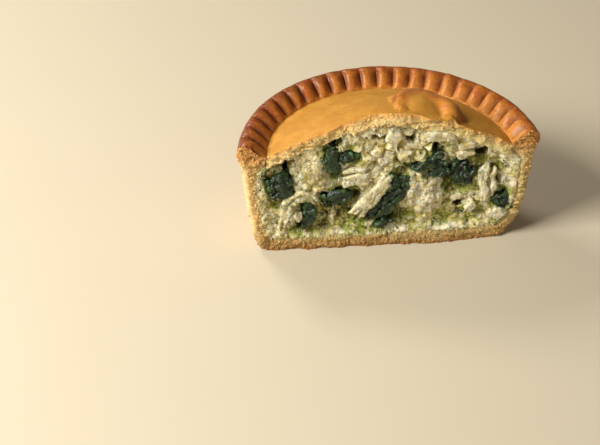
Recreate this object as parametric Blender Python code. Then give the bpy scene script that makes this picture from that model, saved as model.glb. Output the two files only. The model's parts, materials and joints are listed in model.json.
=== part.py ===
"""Half of a deep-filled chicken and spinach pie, cut through the middle.

The half stands on its base with the cut face towards -Y. The origin is at table
height, in the middle of the box round the half. Sizes are in millimetres, and
become metres where a mesh is made.
"""

import math

import bmesh
import bpy
from mathutils import Vector, noise

MM = 0.001
CLEARANCE = 0.35          # gap between pieces that touch
POCKET_GAP = 0.5          # between a piece of filling and the pocket that it lies in

# The whole pie, before it was cut.
RIM_RADIUS = 55.0         # outside edge of the crimped rim
RIM_HEIGHT = 46.8         # crest of the rim
FOOT_RADIUS = 44.7        # inner foot of the rim, where the lid starts
FOOT_HEIGHT = 41.5
BASE_RADIUS = 47.6        # where the wall meets the underside
BASE_SHIFT = -1.5         # the foot of the wall sits to the left of its rim
LEAN_HEIGHT = 10.0        # above this height the wall stands true under the rim
CORNER_RADIUS = 4.0       # between underside and wall
FLOOR_THICKNESS = 4.6
CROWN_HEIGHT = 57.0       # middle of the lid
LID_THICKNESS = 4.7
LID_EDGE = 4.4            # thickness where the lid meets the rim
LID_CURVE = 1.5           # power of the dome's fall towards the rim
LID_RINGS = 18            # mesh rows from the middle of the lid to its edge
UNDERSIDE_RINGS = 8

# The knife went a little behind the middle, so this half is the smaller one.
CUT_Y = -26.3
AXIS_Y = CUT_Y - 2.4
KNIFE_REACH = 12.0        # how far the cutting blocks reach in front of the cut
CRUMB_RELIEF = 1.0        # depth of the crumbly surface on the cut pastry
CRUMB_SPACING = 2.4
FILLING_RECESS = 1.5      # mean distance of the torn filling behind the cut
FILLING_RELIEF = 2.4
FILLING_SPACING = 2.7
PROUD = 0.4               # how far chicken and spinach stand out of the cut

# The crimps, pressed round the rim.
CRIMPS_ROUND = 49
CRIMP_PITCH = 360.0 / CRIMPS_ROUND
CRIMP_DEPTH = 1.6
CRIMP_LEAN = 1.6          # above 1, each crest leans to its counter-clockwise side
CRIMP_STEPS = 6           # mesh columns in one crimp
FIRST_CREASE = 14.5       # degrees round from +X
FIRST_CRIMP = -2          # the half runs from this crimp
CRIMPS_KEPT = 25          # over this many

# The puffed fold of pastry on the lid. Its crest is an arc round a lower middle, open towards the cut:
# (x, y, height, width to the outside, width to the middle).
FOLD_CREST = [(4.0, -18.6, 1.3, 2.2, 4.2), (5.4, -11.5, 2.9, 2.6, 5.6), (9.6, -4.8, 3.4, 3.0, 7.5),
              (15.2, -3.4, 3.5, 3.2, 8.5), (20.0, -8.6, 3.6, 4.0, 8.5), (23.0, -15.0, 4.4, 5.0, 7.0),
              (22.8, -19.6, 3.9, 5.0, 5.2), (22.0, -22.2, 1.9, 3.4, 3.6)]
FOLD_MIDDLE = (13.4, -10.0)
FOLD_MIDDLE_RADIUS = 12.4
FOLD_MIDDLE_HEIGHT = 3.3

# Open hollows in the filling: (x, z, radius), and how deep they go.
HOLLOWS = [(34.0, 38.0, 2.8), (-37.0, 36.5, 2.6), (-34.6, 29.0, 2.0), (-24.6, 22.0, 2.2),
           (7.6, 44.5, 2.4), (-3.0, 46.8, 2.8), (26.5, 13.5, 2.0)]
HOLLOW_DEPTH = 5.0

# Pieces of filling that show at the cut: (x, z) along each, width, depth into the pie.
SPINACH = [
    ([(-41.5, 33.5), (-40.0, 28.5), (-39.0, 22.5)], 9.5, 9.0),
    ([(-21.8, 43.5), (-21.0, 37.0), (-18.4, 30.5)], 4.2, 8.0),
    ([(-16.8, 39.5), (-12.6, 38.6)], 4.6, 6.0),
    ([(-21.5, 19.0), (-18.5, 22.3), (-13.0, 23.0)], 6.2, 7.0),
    ([(-30.4, 20.5), (-28.8, 14.5), (-31.5, 9.6)], 3.8, 7.0),
    ([(4.0, 30.0), (3.6, 23.0), (-1.5, 17.0), (-7.5, 12.0)], 6.8, 9.0),
    ([(0.5, 10.6), (-3.4, 6.8)], 4.2, 6.0),
    ([(6.5, 33.2), (12.5, 33.6), (17.0, 36.2), (18.4, 40.2)], 3.0, 6.0),
    ([(15.0, 30.6), (21.0, 32.6)], 5.6, 7.0),
    ([(31.0, 33.6), (27.0, 30.0), (25.2, 24.6)], 8.6, 9.0),
    ([(41.3, 20.5), (42.0, 16.5), (44.0, 12.0)], 5.2, 7.0),
]
CHICKEN = [
    ([(-30.6, 39.8), (-29.4, 33.0), (-27.8, 26.0)], 11.5, 11.0),
    ([(-40.6, 7.6), (-37.8, 13.5), (-36.8, 19.6), (-32.6, 23.0), (-27.6, 21.6), (-23.4, 15.6)], 4.4, 7.0),
    ([(-34.0, 16.8), (-33.4, 11.0)], 4.6, 6.0),
    ([(-19.0, 28.8), (-12.5, 30.4), (-6.2, 31.2)], 7.4, 9.0),
    ([(2.2, 32.4), (-2.6, 26.0), (-7.8, 19.2), (-14.4, 12.0)], 5.8, 9.0),
    ([(12.4, 29.0), (13.4, 21.0), (15.6, 12.6)], 13.0, 12.0),
    ([(36.8, 34.0), (36.0, 25.0), (36.8, 15.0)], 6.2, 9.0),
    ([(38.9, 13.2), (43.8, 8.4)], 4.8, 6.0),
    ([(33.4, 16.0), (29.4, 12.8)], 4.0, 6.0),
    ([(11.0, 46.4), (17.0, 46.6), (24.4, 44.2)], 3.8, 7.0),
    ([(-1.6, 48.6), (3.8, 46.4)], 5.0, 7.0),
    ([(23.6, 39.4), (32.0, 40.6)], 4.8, 8.0),
]
SPINACH_CRUMPLE = 0.62    # share by which a piece's skin wanders in and out
CHICKEN_CRUMPLE = 0.36
MORSEL_SIDES = 8
MORSEL_STEP = 2.1         # length of one mesh row along a piece

# Colour and roughness of each material.
GOLDEN_CRUST = ("golden crust", (0.52, 0.25, 0.065), 0.42)
BROWN_CRUST = ("browned case", (0.44, 0.17, 0.045), 0.45)
CREAM_SAUCE = ("cream sauce", (0.52, 0.50, 0.24), 0.55)
SPINACH_GREEN = ("wilted spinach", (0.018, 0.055, 0.016), 0.35)
CHICKEN_WHITE = ("chicken", (0.62, 0.54, 0.34), 0.60)


# ---------------------------------------------------------------- small tools

def rough(point, size, seed=0.0):
    """Smooth noise from -1 to 1 that changes over about size millimetres."""
    return noise.noise(Vector(point) / size + Vector((seed, 2.0 * seed, -seed)))


def material(name, colour, roughness):
    """The plain finish of one kind of piece, made once."""
    made = bpy.data.materials.get(name)
    if made is None:
        made = bpy.data.materials.new(name)
        made.use_nodes = True
        shader = made.node_tree.nodes["Principled BSDF"]
        shader.inputs["Base Color"].default_value = (*colour, 1.0)
        shader.inputs["Roughness"].default_value = roughness
        made.diffuse_color = (*colour, 1.0)
    return made


def new_object(name, bm, finish=None):
    """Turn a bmesh in millimetres into an object with outward faces."""
    bmesh.ops.recalc_face_normals(bm, faces=bm.faces)
    bmesh.ops.scale(bm, vec=(MM, MM, MM), verts=bm.verts)
    mesh = bpy.data.meshes.new(name)
    bm.to_mesh(mesh)
    bm.free()
    made = bpy.data.objects.new(name, mesh)
    bpy.context.scene.collection.objects.link(made)
    if finish:
        mesh.materials.append(material(*finish))
    return made


def combine(target, tool, operation, solver="EXACT"):
    """Apply a Boolean of target with tool, and put the tool away."""
    modifier = target.modifiers.new(operation, "BOOLEAN")
    modifier.operation = operation
    modifier.solver = solver
    modifier.object = tool
    evaluated = target.evaluated_get(bpy.context.evaluated_depsgraph_get())
    result = bpy.data.meshes.new_from_object(evaluated)
    target.modifiers.clear()
    target.data = result
    bpy.data.objects.remove(tool)


def keep_largest_piece(target):
    """Drop the loose scraps that cuts leave, also those that hang on by one corner."""
    bm = bmesh.new()
    bm.from_mesh(target.data)
    waiting = set(bm.faces)
    pieces = []
    while waiting:
        piece = []
        front = [waiting.pop()]
        while front:
            face = front.pop()
            piece.append(face)
            for edge in face.edges:
                for other in edge.link_faces:
                    if other in waiting:
                        waiting.remove(other)
                        front.append(other)
        pieces.append(piece)
    pieces.sort(key=len)
    for piece in pieces[:-1]:
        bmesh.ops.delete(bm, geom=piece, context="FACES")
    bm.to_mesh(target.data)
    bm.free()


def smooth_path(points, step):
    """Points about step apart on a smooth curve through the given points."""
    ends = [2 * Vector(points[0]) - Vector(points[1]), 2 * Vector(points[-1]) - Vector(points[-2])]
    guide = [ends[0], *map(Vector, points), ends[1]]
    curve = []
    for a, b, c, d in zip(guide, guide[1:], guide[2:], guide[3:]):
        count = max(4 if len(points) == 2 else 2, round((c - b).length / step))
        for i in range(count):
            t = i / count
            curve.append(0.5 * (2 * b + (c - a) * t + (2 * a - 5 * b + 4 * c - d) * t ** 2
                                + (3 * b - a - 3 * c + d) * t ** 3))
    curve.append(guide[-2])
    return curve


# ---------------------------------------------------------------- pastry

def around(radius, height, angle):
    """A point on the pie at this angle in radians, leaning with the foot of the wall."""
    lean = BASE_SHIFT * max(0.0, 1.0 - height / LEAN_HEIGHT)
    return Vector((radius * math.cos(angle) + lean, radius * math.sin(angle) + AXIS_Y, height))


def angles(steps):
    """The angles of a mesh row with this many columns in each crimp."""
    first = math.radians(FIRST_CREASE + FIRST_CRIMP * CRIMP_PITCH)
    column = math.radians(CRIMP_PITCH) / steps
    return [first + i * column for i in range(CRIMPS_KEPT * steps + 1)]


def crimp(angle):
    """How deep the rim is pressed at this angle: 0 on a crest and 1 in a crease."""
    turn = (math.degrees(angle) - FIRST_CREASE) / CRIMP_PITCH % 1.0
    return 1.0 - math.sin(math.pi * turn ** CRIMP_LEAN) ** 0.7


def skin_over(rows):
    """A closed bmesh over rows of points round the pie; the first and last are poles."""
    bm = bmesh.new()
    rings = [[bm.verts.new(point) for point in row] for row in rows]
    for low, high in zip(rings, rings[1:]):
        if len(low) == 1 or len(high) == 1:
            pole, ring = (low, high) if len(low) == 1 else (high, low)
            for a, b in zip(ring, ring[1:]):
                bm.faces.new((pole[0], a, b))
            continue
        spans = min(len(low), len(high)) - 1
        low_step = (len(low) - 1) // spans
        high_step = (len(high) - 1) // spans
        for i in range(spans):
            below = low[i * low_step:(i + 1) * low_step + 1]
            above = high[i * high_step:(i + 1) * high_step + 1]
            bm.faces.new(below + above[::-1])
    bm.faces.new([ring[0] for ring in rings])
    bm.faces.new([ring[-1] for ring in reversed(rings)])
    return bm


def inner_section():
    """The inside of the case as (radius, height), from the floor's middle to under the lid."""
    return [(0.0, FLOOR_THICKNESS), (38.5, FLOOR_THICKNESS), (42.5, 6.3), (45.2, 10.5),
            (47.0, 20.0), (47.6, 34.5), (45.3, 37.0)]


def case_section():
    """The case as (radius, height, crimp share), from its underside over the rim to the floor."""
    corner = [(BASE_RADIUS - CORNER_RADIUS * (1 - math.sin(a)), CORNER_RADIUS * (1 - math.cos(a)), 0.0)
              for a in (0.0, 0.6, 1.2)]
    wall = [(49.4, 6.3, 0.0), (50.6, 11.3, 0.0), (52.0, 20.0, 0.0), (52.8, 28.0, 0.0), (53.6, 36.6, 0.0)]
    rim = [(54.4, 39.4, 0.0), (RIM_RADIUS, 42.6, 0.0), (53.9, 45.6, 0.0), (51.6, RIM_HEIGHT, 0.45),
           (48.8, 46.3, 1.0), (46.5, 44.2, 1.0), (FOOT_RADIUS, FOOT_HEIGHT, 0.0)]
    inside = [(radius, height, 0.0) for radius, height in reversed(inner_section())]
    return [(0.0, 0.0, 0.0), *corner, *wall, *rim, *inside]


def pastry_case():
    """Floor, wall and crimped rim, in one piece of browned shortcrust."""
    rows = []
    for radius, height, share in case_section():
        if radius == 0.0:
            rows.append([around(0.0, height, 0.0)])
            continue
        row = []
        for angle in angles(CRIMP_STEPS if share else 1):
            uneven = 0.35 * rough((radius * math.cos(angle), radius * math.sin(angle), height), 9.0)
            pressed = share * (CRIMP_DEPTH * crimp(angle) - uneven)
            row.append(around(radius, height - pressed, angle))
        rows.append(row)
    return new_object("pastry_case", skin_over(rows), BROWN_CRUST)


def fold(x, y):
    """Height of the puffed fold above the plain dome."""
    crest = smooth_path(FOLD_CREST, 1.5)
    nearest, ridge = math.inf, 0.0
    for a, b in zip(crest, crest[1:]):
        step_x, step_y = b[0] - a[0], b[1] - a[1]
        t = ((x - a[0]) * step_x + (y - a[1]) * step_y) / (step_x * step_x + step_y * step_y)
        beside = a.lerp(b, min(1.0, max(0.0, t)))
        off_x, off_y = x - beside[0], y - beside[1]
        if math.hypot(off_x, off_y) < nearest:
            nearest = math.hypot(off_x, off_y)
            outer = step_x * off_y - step_y * off_x > 0.0
            span = min(1.0, nearest / beside[3 if outer else 4])
            ridge = beside[2] * (1.0 - span ** 2.4 if outer else (1.0 - span * span) ** 1.3)
    off_middle = math.dist((x, y), FOLD_MIDDLE) / FOLD_MIDDLE_RADIUS
    middle = FOLD_MIDDLE_HEIGHT * max(0.0, 1.0 - off_middle ** 2)
    return (ridge ** 3 + middle ** 3) ** (1 / 3)


def dome(x, y):
    """Height of the lid's top, without its fold."""
    share = min(1.0, math.hypot(x, y - AXIS_Y) / FOOT_RADIUS)
    return CROWN_HEIGHT - (CROWN_HEIGHT - FOOT_HEIGHT) * share ** LID_CURVE


def lid_top(x, y):
    """Height of the lid's top."""
    return dome(x, y) + fold(x, y) + 0.3 * rough((x, y, 0.0), 12.0, 3.0)


def lid_underside(x, y):
    """Height of the lid's torn underside."""
    return dome(x, y) - LID_THICKNESS + 1.0 * rough((x, y, 0.0), 7.0, 5.0)


def disc_rows(radii, height, steps):
    """Rows over the plan of the pie at the given radii, lifted by height(x, y)."""
    rows = []
    for radius in radii:
        points = [around(radius, FOOT_HEIGHT, angle) for angle in (angles(steps) if radius else [0.0])]
        for point in points:
            point.z = height(point.x, point.y)
        rows.append(points)
    return rows


def lid_radii(rings):
    """Radii from the middle of the lid to its edge, closer together towards the edge."""
    return [(FOOT_RADIUS - CLEARANCE) * (i / rings) ** 0.85 for i in range(rings + 1)]


def level(row, height):
    """The same row of points, all at one height."""
    return [Vector((point.x, point.y, height)) for point in row]


def underside_rows(drop=0.0):
    """Rows over the lid's underside, or over a surface that far below it."""
    rows = disc_rows(lid_radii(UNDERSIDE_RINGS), lambda x, y: lid_underside(x, y) - drop, 1)
    rows[-1] = level(rows[-1], FOOT_HEIGHT - LID_EDGE - drop)
    return rows


def pastry_lid():
    """The domed lid with its puffed fold, fitted inside the rim's foot."""
    top = disc_rows(lid_radii(LID_RINGS), lid_top, 2)
    top[-1] = level(top[-1], FOOT_HEIGHT - 0.1)
    return new_object("pastry_lid", skin_over(top + underside_rows()[::-1]), GOLDEN_CRUST)


def filling_block(name):
    """All the room inside case and lid, less a clearance, before anything cuts it."""
    rows = []
    section = inner_section()
    for i, (radius, height) in enumerate(section):
        before = Vector(section[max(i - 1, 0)])
        after = Vector(section[min(i + 1, len(section) - 1)])
        along = (after - before).normalized()
        radius -= CLEARANCE * along.y
        height += CLEARANCE * along.x
        rows.append([around(radius, height, angle) for angle in (angles(1) if i else [0.0])])
    return new_object(name, skin_over(rows + underside_rows(CLEARANCE)[::-1]), CREAM_SAUCE)


# ---------------------------------------------------------------- the knife cut

def pastry_front(x, z):
    """The cut through pastry: nearly flat, with a crumb."""
    crumb = abs(rough((x, 0.0, z), 2.6, 1.0)) + 0.4 * rough((x, 0.0, z), 7.0, 8.0)
    return CUT_Y + CRUMB_RELIEF * min(1.4, max(0.0, 0.15 + crumb))


def filling_front(x, z):
    """The cut through the filling: lumps of sauce and chicken, with open hollows."""
    near = noise.voronoi(Vector((x, 0.0, z)) / 5.5)[0][0]
    depth = FILLING_RECESS + FILLING_RELIEF * (1.5 * near - 0.75 + 0.5 * rough((x, 0.0, z), 3.0, 4.0))
    for hollow_x, hollow_z, radius in HOLLOWS:
        share = math.hypot(x - hollow_x, z - hollow_z) / radius
        if share < 1.4:
            depth += HOLLOW_DEPTH * (1.0 - share / 1.4) ** 0.6
    return CUT_Y + max(0.1, depth)


def knife(front, spacing):
    """A block in front of the cut whose back is front(x, z), so that it leaves that relief."""
    columns = round(2 * (RIM_RADIUS + 3.0) / spacing)
    rows = round((CROWN_HEIGHT + 10.0) / spacing)
    bm = bmesh.new()
    grid = []
    for j in range(rows + 1):
        z = -5.0 + j * spacing
        xs = [-RIM_RADIUS - 3.0 + i * spacing for i in range(columns + 1)]
        grid.append([bm.verts.new((x, front(x, z), z)) for x in xs])
    for low, high in zip(grid, grid[1:]):
        for a, b, c, d in zip(low, low[1:], high[1:], high):
            bm.faces.new((a, b, c, d))
    corners = [bm.verts.new((v.co.x, CUT_Y - KNIFE_REACH, v.co.z))
               for v in (grid[0][0], grid[0][-1], grid[-1][-1], grid[-1][0])]
    bm.faces.new(corners)
    borders = [grid[0], [row[-1] for row in grid], grid[-1][::-1], [row[0] for row in grid[::-1]]]
    for i, border in enumerate(borders):
        bm.faces.new([*border, corners[(i + 1) % 4], corners[i]])
    return new_object("knife", bm)


# ---------------------------------------------------------------- chicken and spinach

def morsel(name, shape, finish, crumple, grow=0.0):
    """A piece of filling swept along its path, flattened where the knife passed.

    crumple is the share by which its skin wanders in and out, and grow makes it
    larger all round, for the pocket that it lies in.
    """
    path, width, depth = shape
    centres = smooth_path(path, MORSEL_STEP)
    front = CUT_Y - PROUD - 3.0 * grow
    bm = bmesh.new()
    rings = []
    for i, centre in enumerate(centres):
        ahead = centres[min(i + 1, len(centres) - 1)]
        behind = centres[max(i - 1, 0)]
        along = (ahead - behind).normalized()
        across = Vector((-along.y, along.x))
        share = 2.0 * i / (len(centres) - 1) - 1.0
        taper = max(0.0, 1.0 - abs(share) ** 2.6) ** 0.5
        if taper == 0.0:
            tip = centre + along * (grow if share > 0 else -grow)
            rings.append([bm.verts.new((tip.x, CUT_Y + 0.25 * depth, tip.y))])
            continue
        ring = []
        for j in range(MORSEL_SIDES):
            turn = 2.0 * math.pi * j / MORSEL_SIDES
            wander = 1.0 + crumple * rough((centre.x, 9.0 * math.sin(turn), centre.y + 9.0 * math.cos(turn)), 3.4)
            sideways = math.cos(turn) * (0.5 * width * taper * wander + grow)
            inwards = math.sin(turn) * (0.5 * depth * taper * wander + grow)
            spot = centre + across * sideways
            y = max(front, CUT_Y + 0.25 * depth + inwards)
            ring.append(bm.verts.new((spot.x, y, spot.y)))
        rings.append(ring)
    for low, high in zip(rings, rings[1:]):
        if len(low) == 1 or len(high) == 1:
            pole, ring = (low, high) if len(low) == 1 else (high, low)
            for a, b in zip(ring, ring[1:] + ring[:1]):
                bm.faces.new((pole[0], a, b))
            continue
        for a, b, c, d in zip(low, low[1:] + low[:1], high[1:] + high[:1], high):
            bm.faces.new((a, b, c, d))
    return new_object(name, bm, finish)


def near_each_other(shape, other):
    """Whether two pieces' boxes come close enough to touch."""
    reach = 0.5 * (shape[1] + other[1]) + 2.0
    return all(min(p[k] for p in shape[0]) - reach < max(p[k] for p in other[0])
               and min(p[k] for p in other[0]) - reach < max(p[k] for p in shape[0]) for k in (0, 1))


def chicken_and_spinach():
    """Every piece that shows, each cut clear of the ones before it and of the case and lid."""
    plans = [(f"spinach_{i + 1:02d}", shape, SPINACH_GREEN, SPINACH_CRUMPLE) for i, shape in enumerate(SPINACH)]
    plans += [(f"chicken_{i + 1:02d}", shape, CHICKEN_WHITE, CHICKEN_CRUMPLE) for i, shape in enumerate(CHICKEN)]
    made = []
    for i, (name, shape, finish, crumple) in enumerate(plans):
        piece = morsel(name, shape, finish, crumple)
        combine(piece, filling_block("room"), "INTERSECT")
        for _, earlier, earlier_finish, earlier_crumple in plans[:i]:
            if near_each_other(shape, earlier):
                pocket = morsel("pocket", earlier, earlier_finish, earlier_crumple, grow=POCKET_GAP)
                combine(piece, pocket, "DIFFERENCE")
        keep_largest_piece(piece)
        made.append(piece)
    return made, plans


def creamy_filling(plans):
    """The sauce and fine chicken that hold the pieces, with a pocket for each."""
    filling = filling_block("filling")
    combine(filling, knife(filling_front, FILLING_SPACING), "DIFFERENCE", "MANIFOLD")
    for _, shape, finish, crumple in plans:
        combine(filling, morsel("pocket", shape, finish, crumple, grow=POCKET_GAP), "DIFFERENCE", "MANIFOLD")
    keep_largest_piece(filling)
    return filling


# ---------------------------------------------------------------- the half pie

def main():
    for old in list(bpy.data.objects):
        bpy.data.objects.remove(old)
    case = pastry_case()
    combine(case, knife(pastry_front, CRUMB_SPACING), "DIFFERENCE")
    lid = pastry_lid()
    combine(lid, knife(pastry_front, CRUMB_SPACING), "DIFFERENCE")
    morsels, plans = chicken_and_spinach()
    filling = creamy_filling(plans)
    half_pie = bpy.data.objects.new("half_pie", None)
    bpy.context.scene.collection.objects.link(half_pie)
    for piece in (case, lid, filling, *morsels):
        keep_largest_piece(piece)
        piece.data.shade_smooth()
        piece.data.set_sharp_from_angle(angle=math.radians(38.0))
        piece.parent = half_pie


main()
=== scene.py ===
"""The looks of half a deep-filled chicken and spinach pie.

The half stands on its base with the cut face towards -Y. Sizes are in
millimetres, and become metres where a mesh or a node tree is made.
"""

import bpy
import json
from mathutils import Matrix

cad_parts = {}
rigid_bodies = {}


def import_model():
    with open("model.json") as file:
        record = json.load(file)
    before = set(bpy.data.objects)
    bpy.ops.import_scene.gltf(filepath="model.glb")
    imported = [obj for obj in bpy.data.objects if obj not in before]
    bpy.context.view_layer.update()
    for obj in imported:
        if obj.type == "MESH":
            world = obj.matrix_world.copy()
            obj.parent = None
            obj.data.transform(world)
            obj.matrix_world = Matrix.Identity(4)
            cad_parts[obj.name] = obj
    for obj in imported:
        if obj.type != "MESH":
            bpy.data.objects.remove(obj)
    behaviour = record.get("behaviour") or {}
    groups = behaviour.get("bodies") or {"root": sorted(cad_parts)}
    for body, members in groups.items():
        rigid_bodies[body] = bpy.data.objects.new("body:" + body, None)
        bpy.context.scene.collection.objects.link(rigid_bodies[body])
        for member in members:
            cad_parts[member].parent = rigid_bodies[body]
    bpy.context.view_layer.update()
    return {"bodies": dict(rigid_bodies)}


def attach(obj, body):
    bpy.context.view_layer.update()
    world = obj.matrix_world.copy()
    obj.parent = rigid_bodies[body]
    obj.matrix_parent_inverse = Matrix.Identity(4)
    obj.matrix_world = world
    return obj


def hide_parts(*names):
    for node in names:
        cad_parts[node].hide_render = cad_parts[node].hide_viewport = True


bl_info = {
    "name": "Half a chicken and spinach pie",
    "version": (1, 0, 0),
    "blender": (4, 5, 0),
    "location": "3D View > Sidebar > Pie",
    "description": "Makes the cut half of a crimped, deep-filled pie and its plain studio",
    "category": "Object",
}

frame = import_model()

import json
import math

import bpy
import numpy as np
from bpy.props import FloatProperty, FloatVectorProperty, IntProperty, PointerProperty
from bpy.types import Operator, Panel, PropertyGroup
from mathutils import Vector, noise

BODY = next(iter(frame["bodies"]))      # the pie has no joints, so this is its only body
MM = 0.001

# The whole pie, before it was cut.
RIM_RADIUS = 55.0         # outside edge of the crimped rim
RIM_HEIGHT = 46.8         # crest of the rim
FOOT_RADIUS = 44.7        # inner foot of the rim, where the lid starts
FOOT_HEIGHT = 41.5
BASE_RADIUS = 47.6        # where the wall meets the underside
BASE_SHIFT = -1.5         # the foot of the wall sits to the left of its rim
LEAN_HEIGHT = 10.0        # above this height the wall stands true under the rim
CORNER_RADIUS = 4.0       # between underside and wall
FLOOR_THICKNESS = 4.6
CROWN_HEIGHT = 57.0       # middle of the lid
LID_THICKNESS = 4.7
LID_EDGE = 4.4            # thickness where the lid meets the rim
LID_CURVE = 1.5           # power of the dome's fall towards the rim
CUT_Y = -26.3
AXIS_Y = CUT_Y - 2.4      # the knife went a little behind the middle
PROUD = 0.4               # how far chicken and spinach stand out of the cut
SHOULDER = 0.25           # how softly they bend where the knife held them back
FLOOR_TOP = 6.0           # below this height the broken case is floor
RIM_FOOT = 38.0           # and above this one it is rim
FLAKY_SIDE = 14.0         # to the right of this the lid is soaked and comes apart in layers
INTO_CRUMB = 0.7          # how far the filling has sunk into the case

# The crimps, pressed round the rim.
CRIMPS_ROUND = 49
CRIMP_PITCH = 360.0 / CRIMPS_ROUND
FIRST_CREASE = 14.5       # degrees round from +X
FIRST_CRIMP = -2          # the half runs from this crimp
CRIMPS_KEPT = 25          # over this many

# The puffed fold of pastry on the lid. Its crest is an arc round a lower middle, open towards
# the cut: (x, y, height, width to the outside, width to the middle).
FOLD_CREST = [
    (4.0, -18.6, 1.3, 2.2, 4.2), (5.4, -11.5, 2.9, 2.6, 5.6), (9.6, -4.8, 3.4, 3.0, 7.5),
    (15.2, -3.4, 3.5, 3.2, 8.5), (20.0, -8.6, 3.6, 4.0, 8.5), (23.0, -15.0, 4.4, 5.0, 7.0),
    (22.8, -19.6, 3.9, 5.0, 5.2), (22.0, -22.2, 1.9, 3.4, 3.6),
]
FOLD_MIDDLE = (13.4, -10.0)
FOLD_MIDDLE_RADIUS = 12.4
FOLD_MIDDLE_HEIGHT = 3.3

# Hollows in the filling, small and deep ones first: (x, z, radius, depth).
HOLLOWS = [
    (34.0, 38.0, 2.1, 6.0), (-36.8, 37.0, 2.6, 8.0), (-35.9, 33.6, 2.2, 7.0), (-34.9, 29.6, 2.0, 6.0),
    (-24.6, 22.4, 2.2, 5.0), (7.6, 45.2, 1.6, 5.0), (-5.6, 47.0, 1.4, 4.0), (-2.4, 46.8, 1.4, 4.0),
    (27.0, 15.0, 1.7, 5.0), (-20.4, 44.8, 2.0, 5.0), (-18.0, 46.0, 1.5, 4.0), (16.8, 40.8, 1.6, 4.0),
    (40.6, 25.0, 1.8, 3.0),
    (-24.0, 10.0, 10.0, 2.6), (-12.0, 16.0, 6.0, 2.8), (4.0, 12.0, 8.0, 2.6), (24.0, 11.0, 9.0, 2.2),
    (-23.0, 32.0, 4.0, 1.6), (20.0, 26.0, 5.0, 1.8), (40.0, 30.0, 4.0, 1.5),
]

# Smooth chunks in the sauce: (x, z, radius).
CHUNKS = [
    (5.4, 38.4, 3.0), (12.0, 37.4, 2.6), (14.6, 41.2, 2.0), (1.2, 43.4, 2.8), (-9.4, 36.4, 4.2),
    (-4.2, 41.0, 2.8), (28.6, 42.8, 2.6),
]

# Places where the sauce is bright green: (x, z, radius).
GREENS = [
    (40.5, 31.0, 3.6), (33.6, 24.0, 2.4), (22.6, 36.4, 3.2), (-10.6, 26.6, 2.0), (28.0, 20.6, 3.0),
    (-30.0, 12.6, 2.6), (-20.4, 25.2, 2.2), (6.0, 12.0, 3.4), (-13.0, 8.0, 4.0), (-40.0, 12.0, 2.4),
    (14.0, 38.2, 1.6), (31.0, 10.0, 4.0), (-22.0, 39.6, 2.0), (-15.6, 42.4, 2.4), (20.0, 9.0, 3.0),
]

# Pieces of filling that show at the cut: (x, z) along each, width, depth into the pie, and for
# chicken how far the sauce has stained it and how many strands lie side by side, or 0 for a
# mealy chunk.
SPINACH = [
    ([(-41.5, 33.5), (-40.0, 28.5), (-39.0, 22.5)], 9.5, 9.0),
    ([(-21.8, 43.5), (-21.0, 37.0), (-18.4, 30.5)], 4.2, 8.0),
    ([(-16.8, 39.5), (-12.6, 38.6)], 4.6, 6.0),
    ([(-21.5, 19.0), (-18.5, 22.3), (-13.0, 23.0)], 6.2, 7.0),
    ([(-30.4, 20.5), (-28.8, 14.5), (-31.5, 9.6)], 3.8, 7.0),
    ([(4.0, 30.0), (3.6, 23.0), (-1.5, 17.0), (-7.5, 12.0)], 6.8, 9.0),
    ([(0.5, 10.6), (-3.4, 6.8)], 4.2, 6.0),
    ([(6.5, 33.2), (12.5, 33.6), (17.0, 36.2), (18.4, 40.2)], 3.0, 6.0),
    ([(15.0, 30.6), (21.0, 32.6)], 5.6, 7.0),
    ([(30.6, 34.0), (27.2, 30.4), (25.0, 25.0)], 10.4, 9.0),
    ([(42.0, 19.9), (43.0, 15.7), (44.8, 11.4)], 5.4, 7.0),
]
CHICKEN = [
    ([(-30.2, 39.8), (-29.0, 33.0), (-27.4, 26.0)], 12.6, 11.0, 0.6, 0),
    ([(-40.6, 7.6), (-37.8, 13.5), (-36.8, 19.6), (-32.6, 23.0), (-27.6, 21.6), (-23.4, 15.6)],
     4.6, 7.0, 0.3, 3),
    ([(-34.0, 16.8), (-33.4, 11.0)], 4.6, 6.0, 0.5, 3),
    ([(-19.0, 28.8), (-12.5, 30.4), (-6.2, 31.2)], 7.6, 9.0, 0.0, 4),
    ([(2.2, 32.4), (-2.6, 26.0), (-7.8, 19.2), (-14.4, 12.0)], 6.2, 9.0, 0.15, 3),
    ([(12.4, 29.0), (13.4, 21.0), (15.6, 12.6)], 13.4, 12.0, 0.15, 0),
    ([(36.8, 34.0), (36.0, 25.0), (36.8, 15.0)], 6.6, 9.0, 0.0, 3),
    ([(38.9, 13.2), (43.8, 8.4)], 5.4, 6.0, 0.0, 2),
    ([(33.4, 16.0), (29.4, 12.8)], 4.4, 6.0, 0.2, 2),
    ([(11.0, 46.4), (17.0, 46.6), (24.4, 44.2)], 4.4, 7.0, 0.2, 2),
    ([(-1.6, 48.6), (3.8, 46.4)], 5.4, 7.0, 0.0, 2),
    ([(23.6, 39.4), (32.0, 40.6)], 5.2, 8.0, 0.45, 2),
]

# How fine the meshes are.
SECTION_STEP = 0.9        # between points along the case's outline
CASE_COLUMNS = 20         # in each crimp, round the case
LID_COLUMNS = 9           # in each crimp, round the lid
LID_RINGS = 60            # from the lid's middle to its edge
CORE_COLUMNS = 2          # in each crimp, round the filling
CORE_RINGS = 24           # over the top of the filling
CUT_STEP = 0.27           # between points of the broken faces
PATH_STEP = 0.6           # between points along a piece of chicken or spinach
VOXEL = 0.24              # of the skins of chicken and spinach
SHORTEST_STRAND = 4       # in points of its path
EIGHT_SIDES = np.linspace(0.0, 2.0 * math.pi, 9)[:-1]     # angles round a strand
LEAF_ROWS = 12
LEAF_COLUMNS = 6

# The knife is a block in front of the cut. It reaches beyond the pie all round.
KNIFE_BESIDE = 3.0
KNIFE_BELOW = 5.0
KNIFE_ABOVE = 6.0
KNIFE_THICKNESS = 12.0

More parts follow.
